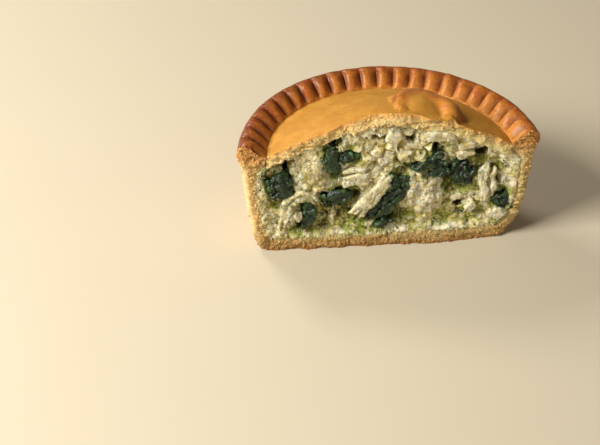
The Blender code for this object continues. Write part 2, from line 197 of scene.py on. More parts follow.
# Shades that darken a colour, as shares of its red, green and blue. The speck, dot, fleck and fibre shades
# mark real specks and grain; the crumb, sauce, meat and leaf shades are painted shade in hollows and
# recesses, the crumb shade also darkening by grain and random tone.
SPECK_SHADE = (0.62, 0.5, 0.4)
DOT_SHADE = (0.72, 0.55, 0.4)
FLECK_SHADE = (0.5, 0.34, 0.22)
CRUMB_SHADE = (0.6, 0.47, 0.32)
SAUCE_SHADE = (0.08, 0.055, 0.015)
FIBRE_SHADE = (0.82, 0.74, 0.52)
MEAT_SHADE = (0.3, 0.26, 0.13)
LEAF_SHADE = (0.2, 0.2, 0.2)
WARM_SHINE = (1.0, 0.82, 0.55, 1.0)     # tint of the reflections, as on anything buttery
CLEAR_SHINE = (1.0, 1.0, 1.0, 1.0)      # tint of the reflections on wet leaves

# The camera, from the perspective of the photograph. Places of camera and lights are in metres.
LENS = 84.0
CAMERA_TARGET = (-0.0309, -0.0109, 0.0)
CAMERA_DISTANCE = 0.5356
CAMERA_ELEVATION = 37.8
CAMERA_AZIMUTH = -5.76

# The soft square lights: where each stands, what it aims at, and how wide it is.
LIGHTS = {
    "key": ((-0.56, -0.22, 0.5), (0.0, -0.01, 0.03), 0.34),
    "fill": ((0.25, -0.75, 0.4), (0.0, 0.0, 0.03), 0.7),
    "back": ((-0.35, 0.45, 0.5), (0.0, -0.01, 0.03), 0.18),
}
LIGHT_COLOUR = (1.0, 0.97, 0.92)
WORLD_COLOUR = (1.0, 0.88, 0.7, 1.0)
FLOOR_REACH = 2000.0      # from the pie to the floor's edge
FLOOR_DROP = 0.05         # the floor lies this far under the pie


# ---------------------------------------------------------------- sizes and colours to change

def linear(level):
    """A screen level from 0 to 255 as the linear value that a shader takes."""
    share = level / 255.0
    return share / 12.92 if share <= 0.04045 else ((share + 0.055) / 1.055) ** 2.4


def tint(name, description, red, green, blue):
    """A colour property, whose default is given in screen levels."""
    return FloatVectorProperty(name=name, description=description, subtype="COLOR", size=3,
                               min=0.0, max=1.0, default=(linear(red), linear(green), linear(blue)))


def length(name, description, millimetres):
    """A length property, whose default is given in millimetres."""
    return FloatProperty(name=name, description=description, unit="LENGTH", min=0.0,
                         default=millimetres * MM)


def share(name, description, default):
    """A factor property from 0 to 1."""
    return FloatProperty(name=name, description=description, subtype="FACTOR", min=0.0, max=1.0,
                         default=default)


def amount(name, description, default, **limits):
    """A plain number property, from 0 up."""
    return FloatProperty(name=name, description=description, min=0.0, default=default, **limits)


class PastryLook(PropertyGroup):
    """Case and lid."""

    crimp_depth: length("Crimp depth", "How deep the rim is pressed in each crease", 2.2)
    crimp_lean: amount("Crimp lean", "Above 1, each crest leans to one side", 1.6)
    crumb_size: length("Crumb size", "Size of the lumps on the cut pastry", 1.7)
    crumb_depth: length("Crumb depth", "Depth of the lumps on the cut pastry", 0.35)
    loose_crumb: length("Loose crumb", "Radius of the crumbs that stand on the cut", 0.28)
    crumbs: amount("Crumbs", "Crumbs on each square millimetre of cut pastry", 2.2)
    lid_gold: tint("Lid gold", "The lid where it is lightly baked", 200, 147, 62)
    lid_deep: tint("Lid deep gold", "The darker mottling of the lid", 178, 124, 48)
    rim_gold: tint("Rim gold", "The inner slope of the rim", 200, 130, 54)
    rim_brown: tint("Rim brown", "The crests of the rim", 140, 68, 24)
    ember: tint("Ember", "Small red-brown spots on the rim", 176, 74, 34)
    scorched: tint("Scorched", "The darkest browning", 88, 38, 14)
    wall: tint("Wall", "The outside of the wall", 224, 178, 112)
    lid_crumb: tint("Lid crumb", "The inside of the lid", 222, 190, 128)
    case_crumb: tint("Case crumb", "The inside of the wall and floor", 212, 173, 112)
    toasted_crumb: tint("Toasted crumb", "Crumb close to the crust of the case", 160, 102, 46)
    lid_toast: tint("Lid toast", "Crumb close to the top of the lid", 208, 150, 76)
    # Crumb colour that the cut case is painted towards lower down.
    damp_crumb: tint("Damp crumb", "The floor's crumb, where the filling wets it", 150, 108, 54)
    # The smooth strip at the outer edge of the broken wall, painted lighter as a painted highlight where
    # the light from the left falls.
    worn_crumb: tint("Worn crumb", "The smooth outer strip of the broken wall", 240, 212, 158)
    soaked_crumb: tint("Soaked crumb", "Pastry that the sauce has soaked", 214, 200, 142)
    rim_crumb: tint("Rim crumb", "The broken ends of the rim", 206, 146, 82)


class FillingLook(PropertyGroup):
    """Sauce, chicken and spinach."""

    curd_size: length("Curd size", "Size of the lumps of sauce at the cut", 3.6)
    curd_depth: length("Curd depth", "Depth of the lumps of sauce at the cut", 1.2)
    grain_size: length("Grain size", "Size of the fine grain of the sauce", 1.8)
    grain_depth: length("Grain depth", "Depth of the fine grain of the sauce", 0.8)
    strand: share("Strand", "Radius of a strand of meat, as a share of the width that it fills", 0.62)
    crumple: amount("Crumple", "Depth of the folds and creases of the spinach, where 1 is wilted", 1.0)
    leaves: IntProperty(name="Leaves", min=0, default=6,
                        description="Leaf edges that stand out of a clump of 50 square millimetres")
    sauce: tint("Sauce", "The creamy sauce", 206, 186, 112)
    sauce_green: tint("Green sauce", "Sauce coloured by the spinach", 144, 148, 56)
    chicken: tint("Chicken", "Cooked chicken", 233, 225, 194)
    chicken_stained: tint("Stained chicken", "Chicken where the sauce soaked in", 162, 148, 68)
    spinach: tint("Spinach", "Wilted leaves", 8, 27, 14)
    spinach_bright: tint("Bright spinach", "Thin, bruised edges of the leaves", 62, 94, 46)


class StudioLook(PropertyGroup):
    """Floor, lights and world."""

    floor: tint("Floor", "The pale floor", 194, 183, 160)
    world: amount("World", "Strength of the light from all round", 0.12)
    key: amount("Key", "Power of the large light at the left", 9.6, unit="POWER")
    fill: amount("Fill", "Power of the light in front", 1.0, unit="POWER")
    back: amount("Back", "Power of the light behind the rim", 2.6, unit="POWER")


# ---------------------------------------------------------------- node trees

def arithmetic(operation, reflected=False):
    """A method that adds a Math node for the operation on a wire and what is given to it."""
    def method(self, *others):
        values = (*others, self) if reflected else (self, *others)
        return self.math(operation, *values)
    return method


class Wire:
    """A value in a node tree. Arithmetic on it adds the tree's Math nodes."""

    def __init__(self, graph, socket):
        self.graph = graph
        self.socket = socket

    def __getitem__(self, output):
        """Another output of the same node."""
        return Wire(self.graph, self.socket.node.outputs[output])

    def math(self, operation, *values, **settings):
        """A Math node with these values."""
        return self.graph.node("ShaderNodeMath", values, operation=operation, **settings)

    __add__ = arithmetic("ADD")
    __radd__ = arithmetic("ADD", reflected=True)
    __sub__ = arithmetic("SUBTRACT")
    __rsub__ = arithmetic("SUBTRACT", reflected=True)
    __mul__ = arithmetic("MULTIPLY")
    __rmul__ = arithmetic("MULTIPLY", reflected=True)
    __truediv__ = arithmetic("DIVIDE")
    __rtruediv__ = arithmetic("DIVIDE", reflected=True)
    __pow__ = arithmetic("POWER")
    __rpow__ = arithmetic("POWER", reflected=True)
    __gt__ = arithmetic("GREATER_THAN")
    sine = arithmetic("SINE")
    fraction = arithmetic("FRACT")
    whole = arithmetic("FLOOR")
    at_least = arithmetic("MAXIMUM")
    at_most = arithmetic("MINIMUM")

    def clamped(self):
        """The value, held between 0 and 1."""
        return self.math("ADD", self, 0.0, use_clamp=True)

    def between(self, low, high):
        """0 up to low, 1 from high, and smooth in between."""
        values = {"Value": self, "From Min": low, "From Max": high}
        return self.graph.node("ShaderNodeMapRange", values, interpolation_type="SMOOTHSTEP")


class Graph:
    """A node tree that is written as expressions."""

    def __init__(self, tree):
        self.tree = tree

    def node(self, kind, values=(), output=0, **settings):
        """Add a node: its settings first, then each socket's value or link, by place or by name."""
        made = self.tree.nodes.new(kind)
        for name, value in settings.items():
            setattr(made, name, value)
        for key, value in (values.items() if isinstance(values, dict) else enumerate(values)):
            if isinstance(value, Wire):
                self.tree.links.new(value.socket, made.inputs[key])
            elif value is not None:
                made.inputs[key].default_value = value
        return Wire(self, made.outputs[output])

    def scaled(self, vector, factor):
        """A vector times a number."""
        return self.node("ShaderNodeVectorMath", {0: vector, "Scale": factor}, operation="SCALE")

    def moved(self, vector, other):
        """The sum of two vectors."""
        return self.node("ShaderNodeVectorMath", (vector, other), operation="ADD")


class Finish(Graph):
    """A material, with the patterns that the pie's finishes are made of."""

    def __init__(self, name, constants):
        self.material = bpy.data.materials.new(name)
        self.material.use_nodes = True
        super().__init__(self.material.node_tree)
        self.shader = self.tree.nodes["Principled BSDF"]
        for socket, value in {"Specular Tint": WARM_SHINE, **constants}.items():
            self.shader.inputs[socket].default_value = value
        self.place = self.node("ShaderNodeTexCoord", output="Object")

    def painted(self, *names):
        """The values that the mesh holds under these names."""
        found = [self.node("ShaderNodeAttribute", output="Fac", attribute_name=name) for name in names]
        return found if len(found) > 1 else found[0]

    def noise(self, size, detail=2.0, roughness=0.55, stretch=None):
        """Noise from 0 to 1 whose waves are about size millimetres, longer where stretched."""
        place = self.place
        if stretch:
            place = self.node("ShaderNodeMapping", {"Vector": place, "Scale": [1.0 / s for s in stretch]})
        values = {"Vector": place, "Scale": 1.0 / (size * MM), "Detail": detail, "Roughness": roughness}
        return self.node("ShaderNodeTexNoise", values)

    def cells(self, size):
        """Distance to the nearest of many points about size millimetres apart."""
        return self.node("ShaderNodeTexVoronoi", {"Vector": self.place, "Scale": 1.0 / (size * MM)})

    def mix(self, first, second, factor, blend="MIX"):
        """Blend two colours, given as links or as linear triples."""
        first, second = ((*c, 1.0) if not isinstance(c, Wire) else c for c in (first, second))
        return self.node("ShaderNodeMix", {0: factor, 6: first, 7: second}, 2, data_type="RGBA",
                         blend_type=blend)

    def darker(self, colour, shade, part=1.0):
        """The colour darkened by a shade, in full or in part."""
        return self.mix(colour, shade, part, "MULTIPLY")

    def bump(self, height, depth, under=None):
        """A normal for a height from 0 to 1 that stands for depth millimetres."""
        values = {"Height": height, "Distance": depth * MM, "Strength": 1.0, "Normal": under}
        return self.node("ShaderNodeBump", values)

    def done(self, **looks):
        """Connect what changes over the surface, and give back the material."""
        sockets = {"colour": "Base Color", "roughness": "Roughness", "coat": "Coat Weight",
                   "normal": "Normal"}
        for look, wire in looks.items():
            self.tree.links.new(wire.socket, self.shader.inputs[sockets[look]])
        return self.material


class Recipe(Graph):
    """A geometry tree with named inputs. It ends in Realize Instances and Set Material."""

    KINDS = {float: "NodeSocketFloat", int: "NodeSocketInt"}

    def __init__(self, name, **inputs):
        tree = bpy.data.node_groups.new(name, "GeometryNodeTree")
        super().__init__(tree)
        tree.interface.new_socket("Mesh", in_out="INPUT", socket_type="NodeSocketGeometry")
        for title, default in inputs.items():
            made = tree.interface.new_socket(title.replace("_", " "), in_out="INPUT",
                                             socket_type=self.KINDS[type(default)])
            made.default_value = default
        tree.interface.new_socket("Material", in_out="INPUT", socket_type="NodeSocketMaterial")
        tree.interface.new_socket("Mesh", in_out="OUTPUT", socket_type="NodeSocketGeometry")
        self.given = self.node("NodeGroupInput")
        self.mesh = self.given

    def __getattr__(self, title):
        """The input of that name."""
        if title.startswith("__") or title in ("given", "tree"):
            raise AttributeError(title)
        return self.given[title.replace("_", " ")]

    def attribute(self, name):
        """The number that the mesh holds under this name."""
        return self.node("GeometryNodeInputNamedAttribute", [name], data_type="FLOAT")

    def marked(self, mesh, name, number):
        """The mesh, or the points, with a number kept under this name."""
        values = {"Geometry": mesh, "Name": name, "Value": number}
        return self.node("GeometryNodeStoreNamedAttribute", values, data_type="FLOAT")

    def random(self, low, high, seed):
        """A random number for each point or instance."""
        values = {2: low, 3: high, "Seed": seed}
        return self.node("FunctionNodeRandomValue", values, 1, data_type="FLOAT")

    def vector(self, x, y, z):
        """A vector of three numbers."""
        return self.node("ShaderNodeCombineXYZ", (x, y, z))

    def noise(self, size, place=None, detail=1.0):
        """Noise from -1 to 1 whose waves are about as long as size."""
        place = place or self.node("GeometryNodeInputPosition")
        values = {"Vector": place, "Scale": 1.0 / size, "Detail": detail}
        return self.node("ShaderNodeTexNoise", values) * 2.0 - 1.0

    def cells(self, size):
        """Distance to the nearest of many points about size apart, in a space bent by half a size."""
        place = self.node("GeometryNodeInputPosition")
        bend = self.node("ShaderNodeTexNoise", {"Vector": place, "Scale": 1.0 / size, "Detail": 1.0}, 1)
        bend = self.scaled(self.moved(bend, (-0.5, -0.5, -0.5)), size)
        return self.node("ShaderNodeTexVoronoi", {"Vector": self.moved(place, bend), "Scale": 1.0 / size})

    def pushed(self, mesh, offset):
        """The mesh with each point moved by offset."""
        return self.node("GeometryNodeSetPosition", {"Geometry": mesh, "Offset": offset})

    def strewn(self, surface, shape, where, flatten=1.0, thinned=1.0):
        """Small uneven shapes over a surface, each with its own tone, size and turn.

        Most are small. They sink in by a share of their size, or stand off where Sink is below 0.
        """
        density = self.Density * thinned
        values = {"Mesh": surface, "Selection": where, "Density": density, "Seed": self.Seed}
        points = self.node("GeometryNodeDistributePointsOnFaces", values)
        toned = self.marked(points, "tone", self.random(0.0, 1.0, self.Seed + 9.0))
        size = self.Smallest + (self.Largest - self.Smallest) * self.random(0.0, 1.0, self.Seed) ** 2.0
        sunk = self.pushed(toned, self.scaled(points["Normal"], 0.0 - self.Sink * size))
        stretch = [size * self.random(0.65, 1.4, self.Seed + 4.0 + k) for k in range(3)]
        values = {"Points": sunk, "Instance": shape, "Rotation": points["Rotation"],
                  "Scale": self.vector(stretch[0], stretch[1], stretch[2] * flatten)}
        instances = self.node("GeometryNodeInstanceOnPoints", values)
        tilt = self.vector(self.random(-1.0, 1.0, self.Seed + 1.0) * self.Tilt,
                           self.random(-1.0, 1.0, self.Seed + 2.0) * self.Tilt,
                           self.random(-math.pi, math.pi, self.Seed + 3.0))
        turned = self.node("GeometryNodeRotateInstances", {"Instances": instances, "Rotation": tilt})
        loose = self.node("GeometryNodeRealizeInstances", [turned])
        wander = self.noise(self.Largest * 1.1) * self.Lumpiness * self.Largest
        return self.pushed(loose, self.scaled(self.node("GeometryNodeInputNormal"), wander))

    def done(self, mesh):
        """Realize, set the material and connect the output."""
        mesh = self.node("GeometryNodeRealizeInstances", [mesh])
        mesh = self.node("GeometryNodeSetShadeSmooth", {"Geometry": mesh, "Shade Smooth": True})
        mesh = self.node("GeometryNodeSetMaterial", {"Geometry": mesh, "Material": self.Material})
        self.tree.links.new(mesh.socket, self.tree.nodes.new("NodeGroupOutput").inputs[0])
        return self.tree


def shaped_by(piece, tree, **sizes):
    """Run a geometry tree on a piece, and keep the result as its plain mesh."""
    modifier = piece.modifiers.new(tree.name, "NODES")
    modifier.node_group = tree
    for item in tree.interface.items_tree:
        title = item.name.replace(" ", "_")
        if item.in_out == "INPUT" and title in sizes:
            modifier[item.identifier] = sizes[title]
    keep_evaluated(piece)
    return piece


# ---------------------------------------------------------------- meshes

def rough(points, size, seed=0.0):
    """Smooth noise from -1 to 1 at each point, which changes over about size millimetres."""
    places = np.asarray(points) / size + np.array((seed, 2.0 * seed, -seed))
    return np.array([noise.noise(place) for place in places.reshape(-1, 3).tolist()])


def smooth_path(points, step):
    """Points about step apart on a smooth curve through the given points."""
    points = np.array(points, float)
    guide = np.vstack((2.0 * points[0] - points[1], points, 2.0 * points[-1] - points[-2]))
    curve = []
    for a, b, c, d in zip(guide, guide[1:], guide[2:], guide[3:]):
        count = max(2, round(np.linalg.norm(c - b) / step))
        for t in np.arange(count) / count:
            curve.append(0.5 * (2.0 * b + (c - a) * t + (2.0 * a - 5.0 * b + 4.0 * c - d) * t ** 2
                                + (3.0 * b - a - 3.0 * c + d) * t ** 3))
    return np.array([*curve, points[-1]])


def distance_to(points, path):
    """Distance of each point from a chain of straight lines, in the plane."""
    best = np.full(len(points), np.inf)
    for a, b in zip(path, path[1:]):
        along = b - a
        t = np.clip((points - a) @ along / max(along @ along, 1e-9), 0.0, 1.0)
        best = np.minimum(best, np.linalg.norm(points - a - t[:, None] * along, axis=1))
    return best


def paint(mesh, domain="POINT", **layers):
    """Keep a number for each point, or face, of the mesh under each of these names."""
    for name, values in layers.items():
        layer = mesh.attributes.get(name) or mesh.attributes.new(name, "FLOAT", domain)
        layer.data.foreach_set("value", np.asarray(values, np.float32).ravel())


def points_of(mesh):
    """The mesh's points in millimetres."""
    flat = np.empty(3 * len(mesh.vertices), np.float32)
    mesh.vertices.foreach_get("co", flat)
    return flat.reshape(-1, 3).astype(float) / MM


def normals_of(mesh):
    """The mesh's normal at each point."""
    flat = np.empty(3 * len(mesh.vertices), np.float32)
    mesh.vertices.foreach_get("normal", flat)
    return flat.reshape(-1, 3).astype(float)


def move_points(mesh, points):
    """Put the mesh's points at these places, in millimetres."""
    mesh.vertices.foreach_set("co", (points * MM).ravel())


def lift_to_table(mesh):
    """Lift the points that lie lower than the table up to it."""
    points = points_of(mesh)
    points[:, 2] = np.maximum(points[:, 2], 0.0)
    move_points(mesh, points)


def hollows(mesh, rounds):
    """How far each point lies below the mean of those around it, in millimetres; negative on ridges."""
    ends = np.empty(2 * len(mesh.edges), np.int32)
    mesh.edges.foreach_get("vertices", ends)
    starts, stops = np.concatenate((ends, ends.reshape(-1, 2)[:, ::-1].ravel())).reshape(-1, 2).T
    points = points_of(mesh)
    soft = points.copy()
    count = np.maximum(np.bincount(starts, minlength=len(points)), 1)
    for _ in range(rounds):
        total = [np.bincount(starts, soft[stops, axis], len(points)) for axis in range(3)]
        soft = 0.5 * soft + 0.5 * (np.array(total) / count).T
    return np.einsum("ij,ij->i", soft - points, normals_of(mesh))


def new_object(name, data):
    """An object of that name in the scene, in place of an older one."""
    old = bpy.data.objects.get(name)
    if old:
        bpy.data.objects.remove(old)
    made = bpy.data.objects.new(name, data)
    bpy.context.scene.collection.objects.link(made)
    return made


def new_piece(name, points, faces, finish=None):
    """A mesh object from points in millimetres."""
    mesh = bpy.data.meshes.new(name)
    mesh.from_pydata((np.asarray(points, float).reshape(-1, 3) * MM).tolist(), [], list(faces))
    mesh.shade_smooth()
    if finish:
        mesh.materials.append(finish)
    return new_object(name, mesh)


def keep_evaluated(piece):
    """Replace the piece's mesh by what its modifiers make of it."""
    evaluated = piece.evaluated_get(bpy.context.evaluated_depsgraph_get())
    made = bpy.data.meshes.new_from_object(evaluated)
    piece.modifiers.clear()
    plain = piece.data
    piece.data = made
    bpy.data.meshes.remove(plain)


def carve(piece, knife):
    """Cut the knife's block out of the piece. Faces of the cut keep the knife's material and marks."""
    modifier = piece.modifiers.new("cut", "BOOLEAN")
    modifier.operation = "DIFFERENCE"
    modifier.solver = "MANIFOLD"
    modifier.material_mode = "TRANSFER"
    modifier.object = knife
    keep_evaluated(piece)
    bpy.data.objects.remove(knife)
    if not piece.data.polygons:
        raise RuntimeError(f"the cut left nothing of {piece.name}")


def skin_faces(lengths):
    """Faces over rows of points with these lengths, where a row of one point is a pole."""
    starts = np.cumsum([0, *lengths])
    faces = []
    for low, high, low_count, high_count in zip(starts, starts[1:], lengths, lengths[1:]):
        if low_count == 1:
            faces += [(low, high + i + 1, high + i) for i in range(high_count - 1)]
        elif high_count == 1:
            faces += [(low + i, low + i + 1, high) for i in range(low_count - 1)]
        else:
            faces += [(low + i, low + i + 1, high + i + 1, high + i) for i in range(low_count - 1)]
    return faces, starts


def half_turned(name, rows, finish):
    """A closed solid over rows of points round the pie, from pole to pole."""
    faces, starts = skin_faces([len(row) for row in rows])
    faces.append([int(start) for start in starts[:-1]])
    faces.append([int(start) + len(row) - 1 for start, row in zip(starts, rows)][::-1])
    return new_piece(name, np.vstack(rows), faces, finish)


def tube(rings):
    """Points and faces of a closed tube over rings of points, with a pole at each end."""
    sides = len(rings[0])
    tips = [rings[0].mean(axis=0), rings[-1].mean(axis=0)]
    points = np.vstack((tips[0], *rings, tips[1]))
    last = len(points) - 1
    faces = []
    for j in range(sides):
        k = (j + 1) % sides
        faces.append((0, 1 + k, 1 + j))
        faces.append((last, last - sides + j, last - sides + k))
        for start in range(1, 1 + sides * (len(rings) - 1), sides):
            faces.append((start + j, start + k, start + sides + k, start + sides + j))
    return points, faces


def finish_piece(piece, slot, *nodes):
    """Let the piece ride on the pie and hide the solids it stands for. The slot is not used."""
    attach(piece, BODY)
    if nodes:
        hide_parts(*nodes)


# ---------------------------------------------------------------- pastry

def lean(height):
    """How far the case sits to the side at this height, towards its foot."""
    return BASE_SHIFT * np.clip(1.0 - height / LEAN_HEIGHT, 0.0, 1.0)


def around(radius, height, angles):
    """Points on the pie at these angles, leaning with the foot of the wall."""
    radius, height, angles = np.broadcast_arrays(radius, height, np.atleast_1d(angles))
    x = radius * np.cos(angles) + lean(height)
    return np.column_stack((x, radius * np.sin(angles) + AXIS_Y, height))


def half_round(columns):
    """The angles of a mesh row with this many columns in each crimp."""
    first = math.radians(FIRST_CREASE + FIRST_CRIMP * CRIMP_PITCH)
    return first + np.arange(CRIMPS_KEPT * columns + 1) * math.radians(CRIMP_PITCH) / columns


def inner_section():
    """The inside of the case as (radius, height), from the floor's middle to under the lid."""
    return [(0.0, FLOOR_THICKNESS), (38.5, FLOOR_THICKNESS), (42.5, 6.3), (45.2, 10.5),
            (47.0, 20.0), (47.6, 34.5), (45.3, 37.0)]


def wall_line():
    """The inside of the case at the cut as (x, z), from under the lid at the left to the right."""
    radius, z = np.array(inner_section()[1:]).T
    left, right = (np.column_stack((side * radius + lean(z), z)) for side in (-1.0, 1.0))
    return np.vstack((left[::-1], right))


def outer_section():
    """The outside of the case as (radius, height, crimp share), from its underside over the rim."""
    corner = [(BASE_RADIUS - CORNER_RADIUS * (1 - math.sin(a)), CORNER_RADIUS * (1 - math.cos(a)), 0.0)
              for a in (0.0, 0.6, 1.2)]
    wall = [(49.4, 6.3, 0.0), (50.6, 11.3, 0.0), (52.0, 20.0, 0.0), (52.8, 28.0, 0.0), (53.6, 36.6, 0.0)]
    rim = [(54.4, 39.4, 0.0), (RIM_RADIUS, 42.6, 0.0), (53.9, 45.6, 0.0), (51.6, RIM_HEIGHT, 0.45),
           (48.8, 46.3, 1.0), (46.5, 44.2, 1.0), (45.2, 42.4, 0.7), (FOOT_RADIUS, FOOT_HEIGHT, 0.0)]
    return [*corner, *wall, *rim]


def crimped_rim():
    """Geometry nodes that press the creases into the rim, deepest where its share is 1."""
    recipe = Recipe("crimped rim", Axis_Y=0.0, First_Crease=0.0, Crimps_Round=1.0, Depth=1.0 * MM,
                    Lean=1.3, Sharpness=0.6, Wander=0.05, Wander_Size=12.0 * MM,
                    Unevenness=0.3 * MM, Wave_Size=9.0 * MM, Ripple_Size=2.4 * MM, Seed=0)
    place = recipe.node("GeometryNodeInputPosition")
    split = recipe.node("ShaderNodeSeparateXYZ", [place])
    angle = recipe.node("ShaderNodeMath", (split["Y"] - recipe.Axis_Y, split["X"]), operation="ARCTAN2")
    wander = recipe.noise(recipe.Wander_Size, place) * recipe.Wander
    turns = (angle - recipe.First_Crease) * recipe.Crimps_Round / (2.0 * math.pi) + wander
    values = {2: 0.8, 3: 1.12, "ID": turns.whole(), "Seed": recipe.Seed}
    strength = recipe.node("FunctionNodeRandomValue", values, 1, data_type="FLOAT")
    crest = (turns.fraction() ** recipe.Lean * math.pi).sine().at_least(0.0) ** recipe.Sharpness
    crease = 1.0 - crest
    pressed = recipe.attribute("share") * (crease * recipe.Depth * strength)
    waves = recipe.noise(recipe.Wave_Size, place) + 0.35 * recipe.noise(recipe.Ripple_Size, place)
    uneven = recipe.Unevenness * waves
    offset = recipe.scaled(recipe.node("GeometryNodeInputNormal"), uneven - pressed)
    return recipe.done(recipe.pushed(recipe.marked(recipe.mesh, "crease", crease), offset))


def torn_face():
    """Geometry nodes that give a knife's back the lumps that it leaves on the cut."""
    recipe = Recipe("torn face", Lump_Size=2.0 * MM, Lump_Depth=1.0 * MM, Grain_Size=1.0 * MM,
                    Grain_Depth=0.3 * MM, Wave_Size=6.0 * MM, Wave_Depth=0.4 * MM,
                    Flake_Size=1.9 * MM, Flake_Depth=0.0)
    lumps = recipe.cells(recipe.Lump_Size).at_most(0.85)
    grain = recipe.noise(recipe.Grain_Size, detail=4.0)
    wave = recipe.noise(recipe.Wave_Size)
    # Flakes lie along the layers of the pastry, three times as long as they are thick.
    squeezed = (recipe.node("GeometryNodeInputPosition"), (0.3, 1.0, 1.0))
    along = recipe.node("ShaderNodeVectorMath", squeezed, operation="MULTIPLY")
    flakes = recipe.noise(recipe.Flake_Size, along, detail=3.0) * recipe.Flake_Depth
    depth = (lumps * lumps * 1.4) * recipe.Lump_Depth + grain * recipe.Grain_Depth + flakes
    depth = depth * recipe.attribute("coarse") + wave * recipe.Wave_Depth
    depth = (depth + recipe.attribute("recess")).at_least(-2.2 * MM) * recipe.attribute("bite")
    return recipe.done(recipe.pushed(recipe.mesh, recipe.vector(0.0, depth, 0.0)))


def knife(name, recess, coarse, finish, **relief):
    """A block in front of the cut whose back has the relief that it leaves.

    recess and coarse give the depth of the cut, and the share of lumps on it, at (x, z).
    """
    reach = RIM_RADIUS + KNIFE_BESIDE
    height = KNIFE_BELOW + CROWN_HEIGHT + KNIFE_ABOVE
    xs = np.linspace(-reach, reach, round(2.0 * reach / CUT_STEP) + 1)
    zs = np.linspace(-KNIFE_BELOW, CROWN_HEIGHT + KNIFE_ABOVE, round(height / CUT_STEP) + 1)
    x, z = (grid.ravel() for grid in np.meshgrid(xs, zs))
    columns, rows = len(xs), len(zs)
    back = np.column_stack((x, np.full_like(x, CUT_Y), z))
    bottom = list(range(columns))
    right = [columns - 1 + columns * j for j in range(rows)]
    top = [columns * (rows - 1) + i for i in range(columns)]
    left = [columns * j for j in range(rows)]
    corners = [0, columns - 1, columns * rows - 1, columns * (rows - 1)]
    front = back[corners] - (0.0, KNIFE_THICKNESS, 0.0)
    a, b, c, d = (columns * rows + k for k in range(4))
    starts = [columns * j + i for j in range(rows - 1) for i in range(columns - 1)]
    faces = [(start + columns, start + columns + 1, start + 1, start) for start in starts]
    faces += [(a, b, c, d), [*bottom, b, a], [*right, c, b], [*top[::-1], d, c], [*left[::-1], a, d]]
    made = new_piece(name, np.vstack((back, front)), faces, finish)
    inside = (x > xs[0]) & (x < xs[-1]) & (z > zs[0]) & (z < zs[-1])
    on_front = np.zeros(4)
    paint(made.data, bite=np.concatenate((inside, on_front)),
          recess=np.concatenate((recess(x, z), on_front)) * MM,
          coarse=np.concatenate((coarse(x, z), on_front)))
    paint(made.data, "FACE", cut=np.ones(len(faces)))
    return shaped_by(made, torn_face(), Material=finish, **relief)


def crust_finish(name, look):
    """Baked crust: golden, browner where it is painted brown, with a fine grain, painted shade in the
    crimps' creases and painted highlight on their crests.
    """
    finish = Finish(name, {"Subsurface Weight": 0.08, "Subsurface Radius": (1.0, 0.5, 0.2),
                           "Subsurface Scale": 1.2 * MM, "Coat Roughness": 0.28,
                           "Specular IOR Level": 0.22})
    brown, crease, share_in, scorch, pale = finish.painted("brown", "crease", "share", "scorch", "pale")
    crease = crease * share_in
    mottle = finish.noise(7.0, 4.0, 0.6).between(0.3, 0.7)
    grain = finish.noise(0.8, 3.0, 0.7)
    gold = finish.mix(look.lid_gold, look.lid_deep, mottle * 0.75)
    blush = finish.noise(4.0, 3.0).between(0.35, 0.7)
    # Real browning and blush, with the crimps' creases painted browner and their crests lighter: painted
    # shade and painted highlight.
    browned = (brown * 1.5 - 0.66 + 0.5 * crease + 0.35 * (blush - 0.5)).clamped()
    baked = finish.mix(look.rim_gold, look.rim_brown, browned)
    colour = finish.mix(gold, baked, (brown * 2.2).clamped())
    colour = finish.mix(colour, look.wall, pale)
    blotch = finish.noise(5.0, 3.0).between(0.58, 0.75) * brown * 0.5
    spots = finish.noise(3.2, 3.0).between(0.57, 0.66) * (brown * 2.0).clamped()
    colour = finish.mix(colour, look.ember, spots * 0.6)
    # Darkest where scorched, with painted shade at the fold's outer foot and in the crimps' creases, and
    # real blotches.
    burnt = (scorch * (0.75 + 0.5 * blush) + crease ** 1.8 * 0.9 + blotch).clamped()
    colour = finish.mix(colour, look.scorched, burnt)
    speck = (grain * 1.25 - 0.12).clamped()
    colour = finish.mix(finish.darker(colour, SPECK_SHADE, 0.55), colour, speck)
    dots = finish.cells(1.9).between(0.05, 0.16)
    colour = finish.mix(finish.darker(colour, DOT_SHADE, 0.5), colour, dots)
    fleck = finish.noise(1.1, 4.0, 0.7).between(0.42, 0.62)
    colour = finish.mix(finish.darker(colour, FLECK_SHADE, 0.12 + brown * 0.45), colour, fleck)
    bump = finish.bump(grain * (0.5 + brown) + 0.4 * fleck * brown, 0.16)
    bump = finish.bump(finish.noise(2.6, 3.0), 0.22, bump)
    return finish.done(colour=colour, roughness=0.55 - 0.18 * brown + 0.25 * (grain - 0.5),
                       coat=brown * 0.4, normal=bump)


